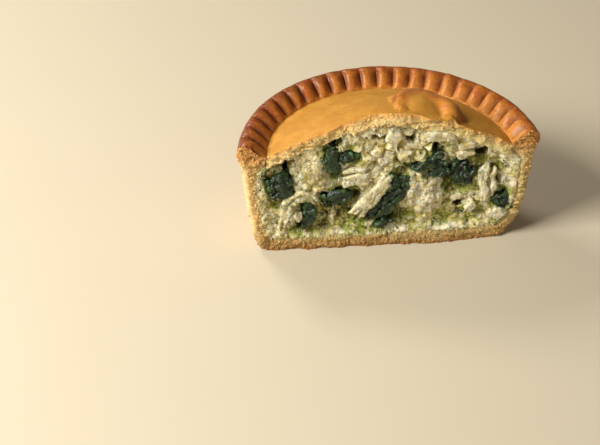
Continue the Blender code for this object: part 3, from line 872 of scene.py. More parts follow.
def crumb_finish(name, look, fresh, toasted):
    """Broken shortcrust: pale and mealy, toasted close to the crust, yellow where sauce soaked in, with a
    smooth edge strip painted lighter, darker low down, and painted shade in its hollows.
    """
    finish = Finish(name, {"Subsurface Weight": 0.5, "Subsurface Radius": (1.0, 0.6, 0.3),
                           "Subsurface Scale": 1.5 * MM, "Specular IOR Level": 0.3})
    toast, soaked, hollow, tone = finish.painted("toast", "soaked", "hollow", "tone")
    rim, burnt, worn, damp = finish.painted("rim", "burnt", "worn", "damp")
    patch = finish.noise(3.0, 3.0, 0.6)
    grain = finish.noise(0.7, 2.0)
    colour = finish.mix(fresh, toasted, (toast * 1.1 + 0.9 * (patch - 0.55)).clamped())
    colour = finish.mix(colour, look.rim_crumb, rim * 0.9)
    colour = finish.mix(colour, look.rim_brown, rim * patch.between(0.5, 0.75) * 0.6 + burnt * 0.8)
    colour = finish.mix(colour, look.soaked_crumb, soaked * 0.85)
    shaded = finish.darker(colour, CRUMB_SHADE)
    # The smooth strip at the broken edge is real, and painted lighter as lit: a painted highlight,
    # strongest on the left.
    colour = finish.mix(colour, look.worn_crumb, worn * 0.85)
    # Painted darker towards the bottom of the case's cut, less so right beside the filling.
    colour = finish.mix(colour, look.damp_crumb, damp * (0.5 + 0.5 * patch))
    # Painted shade in the crumb's hollows, mixed with real grain and the crumbs' random tone.
    shadow = (0.22 * grain.between(0.6, 0.3) + 0.4 * tone + 1.3 * hollow).clamped()
    colour = finish.mix(colour, shaded, shadow)
    bump = finish.bump(grain, 0.12)
    return finish.done(colour=colour, roughness=0.8 + 0.2 * (grain - 0.5), normal=bump)


def strewing(name, seed):
    """A geometry tree with the inputs that small strewn things need."""
    return Recipe(name, Density=1.0, Smallest=0.2 * MM, Largest=0.6 * MM, Sink=0.3, Lumpiness=0.3,
                  Tilt=3.2, Seed=seed)


def scattered(name, shape, flatten):
    """Geometry nodes that strew a small shape over the faces of the cut; shape(recipe) gives it."""
    recipe = strewing(name, 1)
    cut = recipe.attribute("cut") > 0.5
    loose = recipe.attribute("loose")
    return recipe.done(recipe.strewn(recipe.mesh, shape(recipe), cut, flatten, loose))


def crumb_shape(recipe):
    """An angular crumb of radius 1."""
    return recipe.node("GeometryNodeMeshIcoSphere", {"Radius": 1.0, "Subdivisions": 1})


def strew(name, source, finish, slot, density, sizes, seed, flatten=1.0, shape=crumb_shape, **habit):
    """A new piece of small things over the cut faces of another piece.

    density is how many lie on each square millimetre, and sizes are the least and the greatest
    scale of the shape, in metres where the shape says 1.
    """
    piece = new_object(name, source.data.copy())
    shaped_by(piece, scattered(name, shape, flatten), Material=finish, Density=density / MM ** 2,
              Smallest=sizes[0], Largest=sizes[1], Seed=seed, **habit)
    lift_to_table(piece.data)
    finish_piece(piece, slot)


def loose_pastry(part, source, finish, look, crumb_seed, clump_density, clump_seed):
    """Crumbs that stand on the cut pastry, and larger, flatter clumps that hang together on it."""
    slot = f"{part}_crust"
    crumb_sizes = (0.4 * look.loose_crumb, 1.9 * look.loose_crumb)
    strew(f"{part}_crumbs", source, finish, slot, look.crumbs, crumb_sizes, crumb_seed, 0.45)
    strew(f"{part}_clumps", source, finish, slot, clump_density, (0.2 * MM, 0.9 * MM), clump_seed, 0.5,
          Sink=0.2, Lumpiness=0.6, Tilt=0.9)


def case_setback(x, z):
    """How far the broken edge of the case slants back towards its outside, less the floor's bulge."""
    outer = smooth_path(outer_section(), SECTION_STEP)
    rising = outer[:np.argmax(outer[:, 0]) + 1]
    inside = np.interp(z, rising[:, 1], rising[:, 0]) - np.abs(x - lean(z))
    # The floor is pushed out by the knife, most at the right of the middle.
    pushed_out = 1.2 + 1.0 * np.exp(-((x - 17.0) / 15.0) ** 2)
    pushed_out = pushed_out * np.clip(1.2 - (x / 46.0) ** 2, 0.0, 1.0)
    foot = np.clip(1.0 - z / FLOOR_TOP, 0.0, 1.0) ** 1.3
    # The soaked inner edge of the wall has slumped unevenly, more so at the right.
    flat = np.column_stack((x, z))
    slump = np.clip(1.0 - distance_to(flat, wall_line()) / np.where(x > 0.0, 2.0, 1.2), 0.0, 1.0)
    slump *= np.where(x > 0.0, 1.2, 0.4) * (1.0 + rough(np.column_stack((x, 0.0 * x, z)), 2.4, 3.0))
    edge = np.clip(1.0 - inside / 2.4, 0.0, 1.0) ** 2.0
    return 0.45 + 1.3 * edge + slump - (pushed_out + 0.3) * foot


def case_coarse(x, z):
    """Share of lumps on the cut of the case: the left wall is smooth outside, the right one inside."""
    inside = 53.5 - 0.11 * np.clip(RIM_FOOT - z, 0.0, None) - np.abs(x)
    left = np.clip((inside - 1.6) / 1.4, 0.0, 1.0)
    right = np.clip((3.8 - inside) / 1.6, 0.0, 1.0)
    wall = 0.2 + np.where(x < 0.0, 0.8 * left, 1.2 * right)
    return np.where(z < FLOOR_TOP, 0.8, np.where(z > RIM_FOOT, 1.0, wall))


def from_crust(points):
    """Each point's radius round the pie, and its distances from the case's outside and inside."""
    radius = np.hypot(points[:, 0] - lean(points[:, 2]), points[:, 1] - AXIS_Y)
    flat = np.column_stack((radius, points[:, 2]))
    outer = np.maximum(smooth_path(outer_section(), SECTION_STEP), 0.0)[:, :2]
    under = distance_to(flat, np.vstack(((0.0, 0.0), outer)))
    return radius, under, distance_to(flat, np.array(inner_section()))


def paint_case(mesh):
    """Mark where the case is brown, toasted or soaked, where the smooth strip of its broken edge is
    painted lighter, most on the lit left, where its crumb is painted darker low down, and its hollows for
    painted shade, and bare its inside to the crumb.
    """
    points = points_of(mesh)
    x, _, z = points.T
    radius, under, within = from_crust(points)
    faces = np.empty(len(mesh.polygons), np.int32)
    mesh.polygons.foreach_get("material_index", faces)
    corner = np.array([polygon.vertices[0] for polygon in mesh.polygons])
    faces[(within[corner] < 0.1) & (z[corner] < RIM_FOOT)] = 1
    mesh.polygons.foreach_set("material_index", faces)
    low = np.clip(1.6 - z / 1.1, 0.0, 1.0)
    high = np.clip((z - 36.0) / 6.0, 0.0, 1.0)
    left = np.clip(0.5 - x / 90.0, 0.0, 1.0)
    outward = np.clip((radius - 45.0) / 8.0, 0.0, 1.0)
    # A smooth strip at the broken edge, painted lighter at full strength on the lit left and at half on
    # the right.
    worn = np.clip(1.5 - under / np.where(x < 0.0, 1.6, 1.2), 0.0, 1.0)
    paint(mesh,
          toast=np.exp(-under / 0.8) * np.maximum(0.2, low),
          # Darkest brown along the bottom edge of the cut.
          burnt=1.2 * np.exp(-under / 0.9) * low,
          rim=high,
          worn=worn * np.where(x < 0.0, 1.0, 0.5) * (1.0 - low) * (1.0 - high),
          soaked=np.exp(-(within / np.where(x > 0.0, 3.0, 1.3)) ** 2.0) * (1.0 - high),
          brown=high * (0.3 + 0.55 * outward + 0.25 * left),
          # On the case this is only the rim's scorched outer edge.
          scorch=0.3 * high * np.clip((radius - 51.0) / 5.0, 0.0, 1.0),
          pale=1.0 - np.clip((z - 33.0) / 7.0, 0.0, 1.0),
          # Darker towards the bottom, less so right beside the filling.
          damp=np.clip(1.3 - z / 8.0, 0.0, 1.0) * (1.0 - 0.6 * np.exp(-within / 1.2)),
          hollow=hollows(mesh, 6),
          loose=case_coarse(x, z) + 0.9 * (z < FLOOR_TOP) + 0.5 * high)


def pastry_case(look):
    """Floor, wall and crimped rim, cut through, with the crumb showing."""
    underside = [(radius, 0.0, 0.0) for radius in (15.0, 30.0, 37.0)]
    outside = np.maximum(smooth_path(outer_section(), SECTION_STEP), 0.0)
    inside = [(radius, height, 0.0) for radius, height in reversed(inner_section()[1:])]
    section = [*underside, *outside, *inside]
    turn = half_round(CASE_COLUMNS)
    rows = [around(0.0, 0.0, 0.0)]
    rows += [around(radius, height, turn) for radius, height, _ in section]
    rows.append(around(0.0, FLOOR_THICKNESS, 0.0))
    crust = crust_finish("case crust", look)
    crumb = crumb_finish("case crumb", look, look.case_crumb, look.toasted_crumb)
    case = half_turned("baked_case", rows, crust)
    shares = [0.0, *(crimp_share for *_, crimp_share in section), 0.0]
    paint(case.data, share=np.repeat(shares, [len(row) for row in rows]))
    paint(case.data, "FACE", cut=np.zeros(len(case.data.polygons)))
    shaped_by(case, crimped_rim(), Axis_Y=AXIS_Y * MM, First_Crease=math.radians(FIRST_CREASE),
              Crimps_Round=float(CRIMPS_ROUND), Depth=look.crimp_depth, Lean=look.crimp_lean,
              Sharpness=0.52, Material=crust)
    carve(case, knife("case_knife", case_setback, case_coarse, crumb, Lump_Size=look.crumb_size,
                      Lump_Depth=look.crumb_depth, Grain_Size=1.4 * MM, Grain_Depth=0.45 * MM,
                      Wave_Depth=0.5 * MM, Flake_Depth=1.2 * MM))
    lift_to_table(case.data)
    paint_case(case.data)
    finish_piece(case, "case_crust", "pastry_case")
    loose_pastry("case", case, crumb, look, 11, 0.9, 13)


def fold(x, y):
    """Height of the puffed fold above the plain dome, how dark its outer foot is painted, partly scorched
    and partly painted shade, and how brown it is.
    """
    # The nearest place on the crest gives the height and the widths to both sides.
    crest = smooth_path(FOLD_CREST, 0.8)
    best = np.full(x.shape, np.inf)
    side = np.zeros(x.shape)
    height, outside, inside = side, side, side
    for a, b in zip(crest, crest[1:]):
        step = (b - a)[:2]
        t = np.clip(((x - a[0]) * step[0] + (y - a[1]) * step[1]) / (step @ step), 0.0, 1.0)
        dx, dy = x - a[0] - t * step[0], y - a[1] - t * step[1]
        distance = np.hypot(dx, dy)
        nearer = distance < best
        best = np.where(nearer, distance, best)
        side = np.where(nearer, step[0] * dy - step[1] * dx, side)
        height, outside, inside = (np.where(nearer, low + t * (high - low), kept)
                                   for low, high, kept in zip(a[2:], b[2:], (height, outside, inside)))
    outer = side > 0.0
    span = best / np.where(outer, outside, inside)
    near = np.clip(span, 0.0, 1.0)
    ridge = height * np.where(outer, 1.0 - near ** 2.4, (1.0 - near * near) ** 1.3)
    off_middle = np.hypot(x - FOLD_MIDDLE[0], y - FOLD_MIDDLE[1]) / FOLD_MIDDLE_RADIUS
    middle = FOLD_MIDDLE_HEIGHT * np.clip(1.0 - off_middle ** 2.0, 0.0, None)
    raised = (ridge ** 3.0 + middle ** 3.0) ** (1.0 / 3.0)
    # Its outer foot is painted dark, partly scorched and partly painted shade where it falls away from the
    # light, less so at both ends.
    foot = np.clip((span - 0.3) / 0.3, 0.0, 1.0) * np.clip((1.2 - span) / 0.25, 0.0, 1.0)
    scorch = foot * np.clip(height - 1.5, 0.0, 1.0)
    brown = np.clip(1.3 - span, 0.0, 1.0) * np.clip(height / 3.0, 0.0, 1.0)
    nub = np.clip((24.0 - x) / 6.0, 0.35, 1.0)
    scorch *= nub * np.clip((x - 4.0) / 4.0, 0.5, 1.0)
    brown *= nub ** 0.5
    return raised, np.where(outer, scorch, 0.0), np.where(outer, brown, brown ** 1.5)


def dome(x, y):
    """Height of the lid's top, without its fold."""
    span = np.minimum(1.0, np.hypot(x, y - AXIS_Y) / FOOT_RADIUS)
    return CROWN_HEIGHT - (CROWN_HEIGHT - FOOT_HEIGHT) * span ** LID_CURVE


def lid_heights(x, y):
    """Heights of the lid's top and torn underside."""
    flat = np.column_stack((x, y, np.zeros_like(x)))
    top = dome(x, y) + fold(x, y)[0] + 0.3 * rough(flat, 12.0, 3.0) + 0.1 * rough(flat, 4.0, 5.0)
    under = dome(x, y) - LID_THICKNESS + 1.0 * rough(flat, 7.0, 5.0) + 0.8 * rough(flat, 2.4, 6.0)
    return top, under


def lid_setback(x, z):
    """How far the broken edge of the lid slants back towards its top."""
    middle = dome(x, np.full_like(x, CUT_Y)) - 0.5 * LID_THICKNESS
    top = np.clip((z - middle + 1.5) / 4.0, 0.0, 1.0)
    slant = np.exp(-((x + 3.0) / 13.0) ** 4)
    return 0.2 + (0.5 + 2.1 * slant) * top


def lid_coarse(x, z):
    """Share of lumps on the cut of the lid: most on its lower half."""
    low = np.clip((dome(x, np.full_like(x, CUT_Y)) - 1.5 - z) / 2.0, 0.0, 1.0)
    return np.where(x > FLAKY_SIDE, 1.1 - 0.8 * low, 0.5 + 0.6 * low)


def paint_lid(mesh):
    """Mark where the lid is brown, toasted or soaked, where the fold's outer foot is painted dark, partly
    scorched and partly painted shade, and its hollows, which its crumb paints shaded.
    """
    points = points_of(mesh)
    x, y, z = points.T
    top, under = lid_heights(x, y)
    _, scorch, browned = fold(x, y)
    flaky = x > FLAKY_SIDE
    soaked = np.exp(-(np.clip(z - under, 0.0, None) / np.where(flaky, 2.2, 1.2)) ** 2.0)
    paint(mesh,
          toast=np.exp(-np.clip(top - z, 0.0, None) / 1.2),
          soaked=np.where(flaky, 1.0, 0.2) * soaked,
          brown=0.6 * browned,
          scorch=scorch,
          hollow=hollows(mesh, 6),
          loose=lid_coarse(x, z))


def pastry_lid(look):
    """The domed lid with its puffed fold, fitted inside the rim's foot."""
    turn = half_round(LID_COLUMNS)
    radii = (FOOT_RADIUS - 0.1) * (np.arange(LID_RINGS + 1) / LID_RINGS) ** 0.9
    tops, unders = [], []
    for radius in radii:
        row = around(radius, FOOT_HEIGHT, turn if radius else 0.0)
        high, low = row.copy(), row.copy()
        high[:, 2], low[:, 2] = lid_heights(row[:, 0], row[:, 1])
        tops.append(high)
        unders.append(low)
    for row, flush in zip(tops, np.clip((radii - 42.0) / 2.5, 0.0, 1.0)):
        row[:, 2] = (1.0 - flush) * row[:, 2] + flush * np.minimum(row[:, 2], FOOT_HEIGHT - 0.1)
    unders[-1][:, 2] = FOOT_HEIGHT - LID_EDGE
    crust = crust_finish("lid crust", look)
    crumb = crumb_finish("lid crumb", look, look.lid_crumb, look.lid_toast)
    lid = half_turned("baked_lid", [*unders, *tops[::-1]], crust)
    paint(lid.data, "FACE", cut=np.zeros(len(lid.data.polygons)))
    carve(lid, knife("lid_knife", lid_setback, lid_coarse, crumb, Lump_Size=look.crumb_size * 1.3,
                     Lump_Depth=look.crumb_depth * 1.3, Grain_Size=1.6 * MM, Grain_Depth=0.4 * MM,
                     Wave_Depth=1.3 * MM, Flake_Depth=1.8 * MM))
    paint_lid(lid.data)
    finish_piece(lid, "lid_crust", "pastry_lid")
    loose_pastry("lid", lid, crumb, look, 23, 0.6, 29)


# ---------------------------------------------------------------- filling

def sauce_finish(look):
    """Creamy sauce with fine herbs, greener close to the spinach, with painted shade deep behind the cut
    and in its hollows.
    """
    finish = Finish("creamy sauce", {"Subsurface Weight": 0.6, "Subsurface Radius": (1.0, 0.8, 0.35),
                                     "Subsurface Scale": 1.5 * MM, "Specular IOR Level": 0.35})
    green, deep, hollow, tone = finish.painted("green", "deep", "hollow", "tone")
    patch = finish.noise(4.5, 3.0, 0.6).between(0.35, 0.68)
    fine = finish.noise(0.8, 3.0, 0.65)
    pale = finish.noise(8.0, 2.0).between(0.48, 0.62)
    # Depth behind the cut and hollows pull the colour to the darker sauce: painted shade, beside real
    # patches and tone.
    creamy = 0.3 + patch * 0.6 + tone * 0.6 + deep + 2.0 * hollow - 0.7 * pale
    colour = finish.mix(look.chicken, look.sauce, creamy.clamped())
    spread = finish.noise(3.4, 4.0, 0.65).between(0.38, 0.62)
    # Greener near the spinach, real staining, and greener in depth and hollows as painted shade.
    stain = green * (0.2 + 0.8 * spread) + 0.3 * spread + 0.6 * deep + 1.4 * hollow - 0.12 - 0.3 * pale
    colour = finish.mix(colour, look.sauce_green, stain.clamped())
    herbs = finish.cells(0.9).between(0.2, 0.12) * finish.noise(3.0).between(0.4, 0.6)
    herbs = herbs + green.between(0.55, 1.0) * finish.noise(1.3, 3.0).between(0.5, 0.6) * 0.7
    colour = finish.mix(colour, look.spinach_bright, (herbs * 0.85).clamped())
    # Painted shade, near black, deep behind the cut and in hollows, with a little darkening by real grain.
    dark = (deep.between(0.3, 1.0) * 0.85 + 0.9 * hollow + fine.between(0.45, 0.25) * 0.2).clamped()
    colour = finish.mix(colour, finish.darker(colour, SAUCE_SHADE), dark)
    bump = finish.bump(fine, 0.25)
    return finish.done(colour=colour, roughness=0.45 + 0.3 * (fine - 0.5), normal=bump)


def chicken_finish(look):
    """Torn cooked chicken: cream, stained by the sauce, with painted shade in its creases."""
    finish = Finish("torn chicken", {"Subsurface Weight": 0.6, "Subsurface Radius": (1.0, 0.7, 0.4),
                                     "Subsurface Scale": 2.4 * MM, "Specular IOR Level": 0.45})
    hollow, stain, green = finish.painted("hollow", "stain", "green")
    patch = finish.noise(3.2, 3.0, 0.6).between(0.4, 0.75)
    fine = finish.noise(0.6, 2.0)
    # Real sauce staining, with painted shade added in the hollows.
    stain = stain * (0.6 + 0.8 * patch) + (patch - 0.3) * 0.5 + 1.4 * hollow + 0.6 * (fine - 0.5)
    colour = finish.mix(look.chicken, look.chicken_stained, stain.clamped())
    herbs = finish.cells(1.3).between(0.15, 0.08) * 0.4 + green * finish.noise(1.6).between(0.4, 0.6) * 0.8
    fibres = finish.noise(0.9, 3.0, 0.6, (1.0, 1.0, 3.0)).between(0.35, 0.6)
    colour = finish.mix(finish.darker(colour, FIBRE_SHADE), colour, fibres)
    colour = finish.mix(colour, look.spinach_bright, (herbs * 0.8).clamped())
    # Painted shade in the meat's hollows.
    dark = (2.0 * hollow - 0.3).clamped()
    colour = finish.mix(colour, finish.darker(colour, MEAT_SHADE), dark)
    bump = finish.bump(fine, 0.15)
    return finish.done(colour=colour, roughness=0.5 + 0.25 * (fine - 0.5), normal=bump)


def spinach_finish(look):
    """Wilted leaves: dark, wet and wrinkled, with painted shade in their hollows."""
    finish = Finish("wilted spinach", {"Subsurface Weight": 0.05, "Subsurface Scale": 1.0 * MM,
                                       "Specular IOR Level": 0.5, "Specular Tint": CLEAR_SHINE})
    hollow, edge, tone = finish.painted("hollow", "edge", "tone")
    patch = finish.noise(2.4, 3.0, 0.6).between(0.42, 0.66)
    wrinkle = finish.noise(0.7, 3.0, 0.6)
    # Bright on real bruised edges and patches, less bright in hollows as painted shade.
    bright = patch * (0.25 + 0.9 * edge) + tone ** 3.0 * 0.5 - 1.5 * hollow
    colour = finish.mix(look.spinach, look.spinach_bright, bright.clamped())
    # Painted shade in the leaves' hollows.
    colour = finish.mix(colour, finish.darker(colour, LEAF_SHADE), (3.0 * hollow).clamped())
    bump = finish.bump(wrinkle, 0.3)
    return finish.done(colour=colour, roughness=0.22 + 0.3 * (wrinkle - 0.5), normal=bump)


def filling_block(name, finish):
    """All the room inside case and lid, and a little of their crumb, before the knife."""
    turn = half_round(CORE_COLUMNS)
    rows = []
    for radius, height in inner_section():
        bottom = INTO_CRUMB if height < 7.0 else 0.0
        if radius:
            rows.append(around(radius + INTO_CRUMB, height - bottom, turn))
        else:
            rows.append(around(0.0, height - bottom, 0.0))
    for i in range(CORE_RINGS, -1, -1):
        row = around((FOOT_RADIUS + 0.4) * i / CORE_RINGS, FOOT_HEIGHT, turn if i else 0.0)
        row[:, 2] = lid_heights(row[:, 0], row[:, 1])[1] + 0.5
        rows.append(row)
    rows[len(inner_section())][:, 2] = FOOT_HEIGHT - LID_EDGE
    return half_turned(name, rows, finish)


def beside(flat, pieces):
    """How far each point (x, z) lies outside the pieces, seen from the cut; negative within them."""
    return np.min([distance_to(flat, np.array(path)) - 0.5 * width for path, width, *_ in pieces], axis=0)


def bent(x, z):
    """The points moved a little each way, which makes the outline of a round thing uneven."""
    place = np.column_stack((x, 0.0 * x, z))
    return x + 1.3 * rough(place, 2.6, 11.0), z + 1.3 * rough(place, 2.6, 17.0)


def chunk_span(x, z):
    """Distance from the middle of the nearest chunk, where 1 is its uneven outline."""
    bent_x, bent_z = bent(x, z)
    spans = [np.hypot(bent_x - chunk_x, bent_z - chunk_z) / radius for chunk_x, chunk_z, radius in CHUNKS]
    return np.min(spans, axis=0)


def filling_recess(x, z):
    """How far the torn filling lies behind the cut."""
    recess = 0.7 + 0.0 * x
    bent_x, bent_z = bent(x, z)
    for hollow_x, hollow_z, radius, depth in HOLLOWS:
        span = np.hypot(bent_x - hollow_x, bent_z - hollow_z) / (1.25 * radius)
        recess += depth * np.clip(1.0 - span, 0.0, 1.0) ** 0.6
    # A groove runs along the torn shreds of chicken, and the spinach lies in beds.
    flat = np.column_stack((x, z))
    strips = [shape for shape in CHICKEN if shape[-1]]
    recess += 0.6 * np.exp(-(np.clip(beside(flat, strips) - 0.5, -0.8, None) / 1.1) ** 2)
    recess += 1.6 * np.clip(0.6 - beside(flat, SPINACH) / 1.2, 0.0, 1.0)
    # Each chunk stands forward, within a groove of its own.
    span = chunk_span(x, z)
    recess += 0.7 * np.clip((span - 0.8) / 0.3, -1.0, 0.0) + 0.8 * np.exp(-((span - 1.05) / 0.2) ** 2.0)
    return recess * np.clip(distance_to(flat, wall_line()) / 3.0, 0.15, 1.0)


def filling_coarse(x, z):
    """Share of lumps on the cut of the filling: little on the chunks and by the right wall."""
    right_wall = np.clip(distance_to(np.column_stack((x, z)), wall_line()) / 3.0, 0.3, 1.0)
    lumpy = 0.3 + 0.7 * np.clip((chunk_span(x, z) - 0.8) / 0.4, 0.0, 1.0)
    return np.where((x > 38.0) & (z > 12.0), right_wall, 1.0) * lumpy


def shred_shape(recipe):
    """A bent shred of chicken, about 6 long and 1 thick."""
    line = recipe.node("GeometryNodeCurveArc", {"Resolution": 6, "Radius": 3.4, "Sweep Angle": 1.8})
    centred = recipe.node("GeometryNodeTransform", {"Geometry": line, "Translation": (-1.8, -2.6, 0.0)})
    profile = recipe.node("GeometryNodeCurvePrimitiveCircle", {"Resolution": 5, "Radius": 0.5})
    values = {"Curve": centred, "Profile Curve": profile, "Fill Caps": True}
    return recipe.node("GeometryNodeCurveToMesh", values)


def creamy_filling(look):
    """The sauce that holds the pieces, with its curds, fine shreds and herbs."""
    sauce = sauce_finish(look)
    core = filling_block("creamy_filling", sauce)
    paint(core.data, "FACE", cut=np.zeros(len(core.data.polygons)))
    carve(core, knife("filling_knife", filling_recess, filling_coarse, sauce, Lump_Size=look.curd_size,
                      Lump_Depth=look.curd_depth, Grain_Size=look.grain_size,
                      Grain_Depth=look.grain_depth, Wave_Size=7.0 * MM, Wave_Depth=0.8 * MM))
    points = points_of(core.data)
    leaf_gap = np.clip(beside(points[:, [0, 2]], SPINACH), 0.0, None)
    low = np.clip(1.0 - (points[:, 2] - FLOOR_THICKNESS) / 14.0, 0.0, 1.0)
    spots = sum(np.exp(-((points[:, 0] - x) ** 2 + (points[:, 2] - z) ** 2) / radius ** 2)
                for x, z, radius in GREENS)
    paint(core.data,
          green=np.exp(-leaf_gap / 2.2) + 0.5 * low + 1.1 * spots,
          loose=np.ones(len(points)),
          # deep and hollow carry the sauce's painted shade.
          deep=np.clip((points[:, 1] - CUT_Y - 1.4) / 3.4, 0.0, 1.0),
          hollow=hollows(core.data, 8))
    finish_piece(core, "cream_sauce", "filling")
    strew("sauce_curds", core, sauce, "cream_sauce", 0.1, (0.2 * MM, 0.7 * MM), 31, 0.7,
          Sink=0.3, Lumpiness=0.6)
    strew("sauce_grains", core, sauce, "cream_sauce", 0.35, (0.1 * MM, 0.34 * MM), 37, 0.6,
          Sink=0.0, Lumpiness=0.4)
    strew("fine_shreds", core, chicken_finish(look), "chicken", 0.16, (0.2 * MM, 0.46 * MM), 41,
          shape=shred_shape, Sink=-0.4, Lumpiness=0.45, Tilt=0.6)
    strew("herb_flecks", core, spinach_finish(look), "spinach", 0.16, (0.1 * MM, 0.4 * MM), 53, 0.35,
          Sink=-0.6, Lumpiness=0.3)


# ---------------------------------------------------------------- chicken and spinach

def path_of(shape, step=PATH_STEP):
    """A piece's path: its points, the direction across it at each, and how far along each lies."""
    centres = smooth_path(shape[0], step)
    along = np.gradient(centres, axis=0)
    along /= np.linalg.norm(along, axis=1)[:, None]
    travelled = np.concatenate(([0.0], np.cumsum(np.linalg.norm(np.diff(centres, axis=0), axis=1))))
    return centres, np.column_stack((-along[:, 1], along[:, 0])), travelled


def strand(centres, across, spread, depth_in, radius, squash, seed):
    """Rings of one tapered strand beside a path, at a depth into the pie."""
    count = len(centres)

    def uneven(offset, size):
        """Noise from -1 to 1 along the strand."""
        return rough(np.column_stack((centres, np.full(count, seed + offset))), size)

    place = np.linspace(-1.0, 1.0, count + 2)[1:-1]
    thick = radius * np.clip(1.0 - np.abs(place) ** 3.0, 0.0, 1.0) ** 0.5
    thick = thick * (1.0 + 0.45 * uneven(5.0, 2.4))
    middle = centres + (spread + 0.9 * uneven(0.0, 3.4))[:, None] * across
    y = CUT_Y + depth_in + 0.7 * uneven(9.0, 3.0)
    rings = []
    for i in range(count):
        flat = middle[i] + (thick[i] * np.cos(EIGHT_SIDES))[:, None] * across[i]
        ring_y = y[i] + squash * thick[i] * np.sin(EIGHT_SIDES)
        rings.append(np.column_stack((flat[:, 0], ring_y, flat[:, 1])))
    return rings[::-1]


def grown_together(name, blocks):
    """One closed skin over many overlapping closed pieces."""
    points, faces = [], []
    for block_points, block_faces in blocks:
        start = sum(len(block) for block in points)
        points.append(block_points)
        faces += [tuple(start + corner for corner in face) for face in block_faces]
    piece = new_piece(name, np.vstack(points), faces)
    remesh = piece.modifiers.new("skin", "REMESH")
    remesh.mode = "VOXEL"
    remesh.voxel_size = VOXEL * MM
    remesh.use_smooth_shade = True
    keep_evaluated(piece)
    return piece


def behind_the_cut(y):
    """Hold points behind the plane of the knife, with a soft shoulder."""
    front = CUT_Y - PROUD
    return front + SHOULDER * np.log1p(np.exp(np.clip((y - front) / SHOULDER, -30.0, 30.0)))


def frayed(name, shape):
    """Geometry nodes that add small bits to the side of a piece that faces the knife."""
    recipe = strewing(name, 5)
    split = recipe.node("ShaderNodeSeparateXYZ", [recipe.node("GeometryNodeInputNormal")])
    bits = recipe.strewn(recipe.mesh, shape(recipe), 0.0 - split["Y"] > 0.1, 0.8)
    joined = recipe.node("GeometryNodeJoinGeometry", [bits])
    recipe.tree.links.new(recipe.mesh.socket, joined.socket.node.inputs[0])
    return recipe.done(joined)


def roughened(piece, shape, relief):
    """Push a piece's skin in and out by relief(along, across, depth), and mark its hollows."""
    centres, across, travelled = path_of(shape, 0.5)
    points = points_of(piece.data)
    flat = points[:, [0, 2]]
    nearest = np.argmin(((flat[:, None] - centres[None]) ** 2).sum(axis=2), axis=1)
    sideways = ((flat - centres[nearest]) * across[nearest]).sum(axis=1)
    place = np.column_stack((travelled[nearest], sideways, points[:, 1])) + 3.0 * shape[0][0][0]
    points = points + relief(place)[:, None] * normals_of(piece.data)
    points[:, 1] = behind_the_cut(points[:, 1])
    move_points(piece.data, points)
    piece.data.update()
    paint(piece.data, hollow=hollows(piece.data, 10))


def fibrous(place):
    """Relief of torn meat: fibres along the piece, lumps and pits, in millimetres."""
    fibres = rough(place * (0.2, 1.0, 1.0), 0.9, 2.0)
    lumps = rough(place * (0.6, 1.0, 1.0), 3.0, 4.0)
    fluff = rough(place, 0.7, 8.0)
    pits = np.clip(rough(place * (0.5, 1.0, 1.0), 1.7, 6.0) - 0.25, 0.0, 1.0)
    return 0.32 * fibres + 0.4 * lumps + 0.06 * fluff - 0.3 * pits


def mealy(place):
    """Relief of a broken chunk of meat: lumps, pits and grain, in millimetres."""
    lumps = rough(place, 2.2, 4.0)
    fluff = rough(place, 0.8, 8.0)
    pits = np.clip(rough(place, 1.6, 6.0) - 0.15, 0.0, 1.0)
    return 0.35 * lumps + 0.2 * fluff - 0.45 * pits


def wrinkled(place):
    """Relief of wilted leaves: sharp ridges over soft folds, in millimetres."""
    folds = 1.0 - 2.2 * np.abs(rough(place, 3.4, 1.0))
    creases = 1.0 - 2.4 * np.abs(rough(place, 1.6, 3.0))
    return 0.7 * folds + 0.2 * creases - 0.35


def mealy_lumps(shape, draw):
    """Rounded lumps that fill the outline of a blocky piece."""
    _, width, depth, *_ = shape
    centres, across, travelled = path_of(shape)
    blocks = []
    for _ in range(round(0.9 * width * travelled[-1])):
        i = draw.integers(0, len(centres))
        aside = draw.uniform(-0.92, 0.92)
        flat = centres[i] + across[i] * 0.5 * width * aside
        along = np.array((across[i][1], -across[i][0]))
        sunk = 2.2 * max(abs(aside), abs(2.0 * i / len(centres) - 1.0)) ** 3.0
        middle = np.array((flat[0], CUT_Y + sunk + draw.uniform(1.6, 0.6 * depth), flat[1]))
        radius = draw.uniform(1.2, 2.8)
        rings = []
        for angle in (-1.1, -0.55, 0.0, 0.55, 1.1):
            ring = math.cos(angle) * radius
            flat = (ring * np.cos(EIGHT_SIDES))[:, None] * across[i] + radius * math.sin(angle) * along
            rings.append(middle + np.column_stack((flat[:, 0], ring * np.sin(EIGHT_SIDES), flat[:, 1])))
        blocks.append(tube(rings))
    return blocks


def meat_strands(shape, look, draw):
    """Three layers of strands side by side, shorter towards the sides of the piece."""
    _, width, depth, _, strands = shape
    centres, across, _ = path_of(shape)
    count = len(centres)
    blocks = []
    for i in range(3 * strands):
        spread = 0.5 * width * (2.0 * (i % strands + draw.uniform(0.2, 0.8)) / strands - 1.0)
        spare = 1.0 - math.sqrt(max(0.0, 1.0 - (spread / (0.56 * width)) ** 2))
        begin = round((draw.uniform(0.0, 0.16) + 0.3 * spare) * count)
        end = round((1.0 - draw.uniform(0.0, 0.16) - 0.3 * spare) * count)
        if end - begin < SHORTEST_STRAND:
            continue
        radius = draw.uniform(0.85, 1.15) * look.strand * width / strands
        depth_in = 0.7 + (i // strands) * 0.25 * depth + draw.uniform(-0.5, 0.7)
        seed = draw.uniform(0.0, 90.0)
        blocks.append(tube(strand(centres[begin:end], across[begin:end], spread * 0.92, depth_in,
                                  radius, 1.3, seed)))
    return blocks


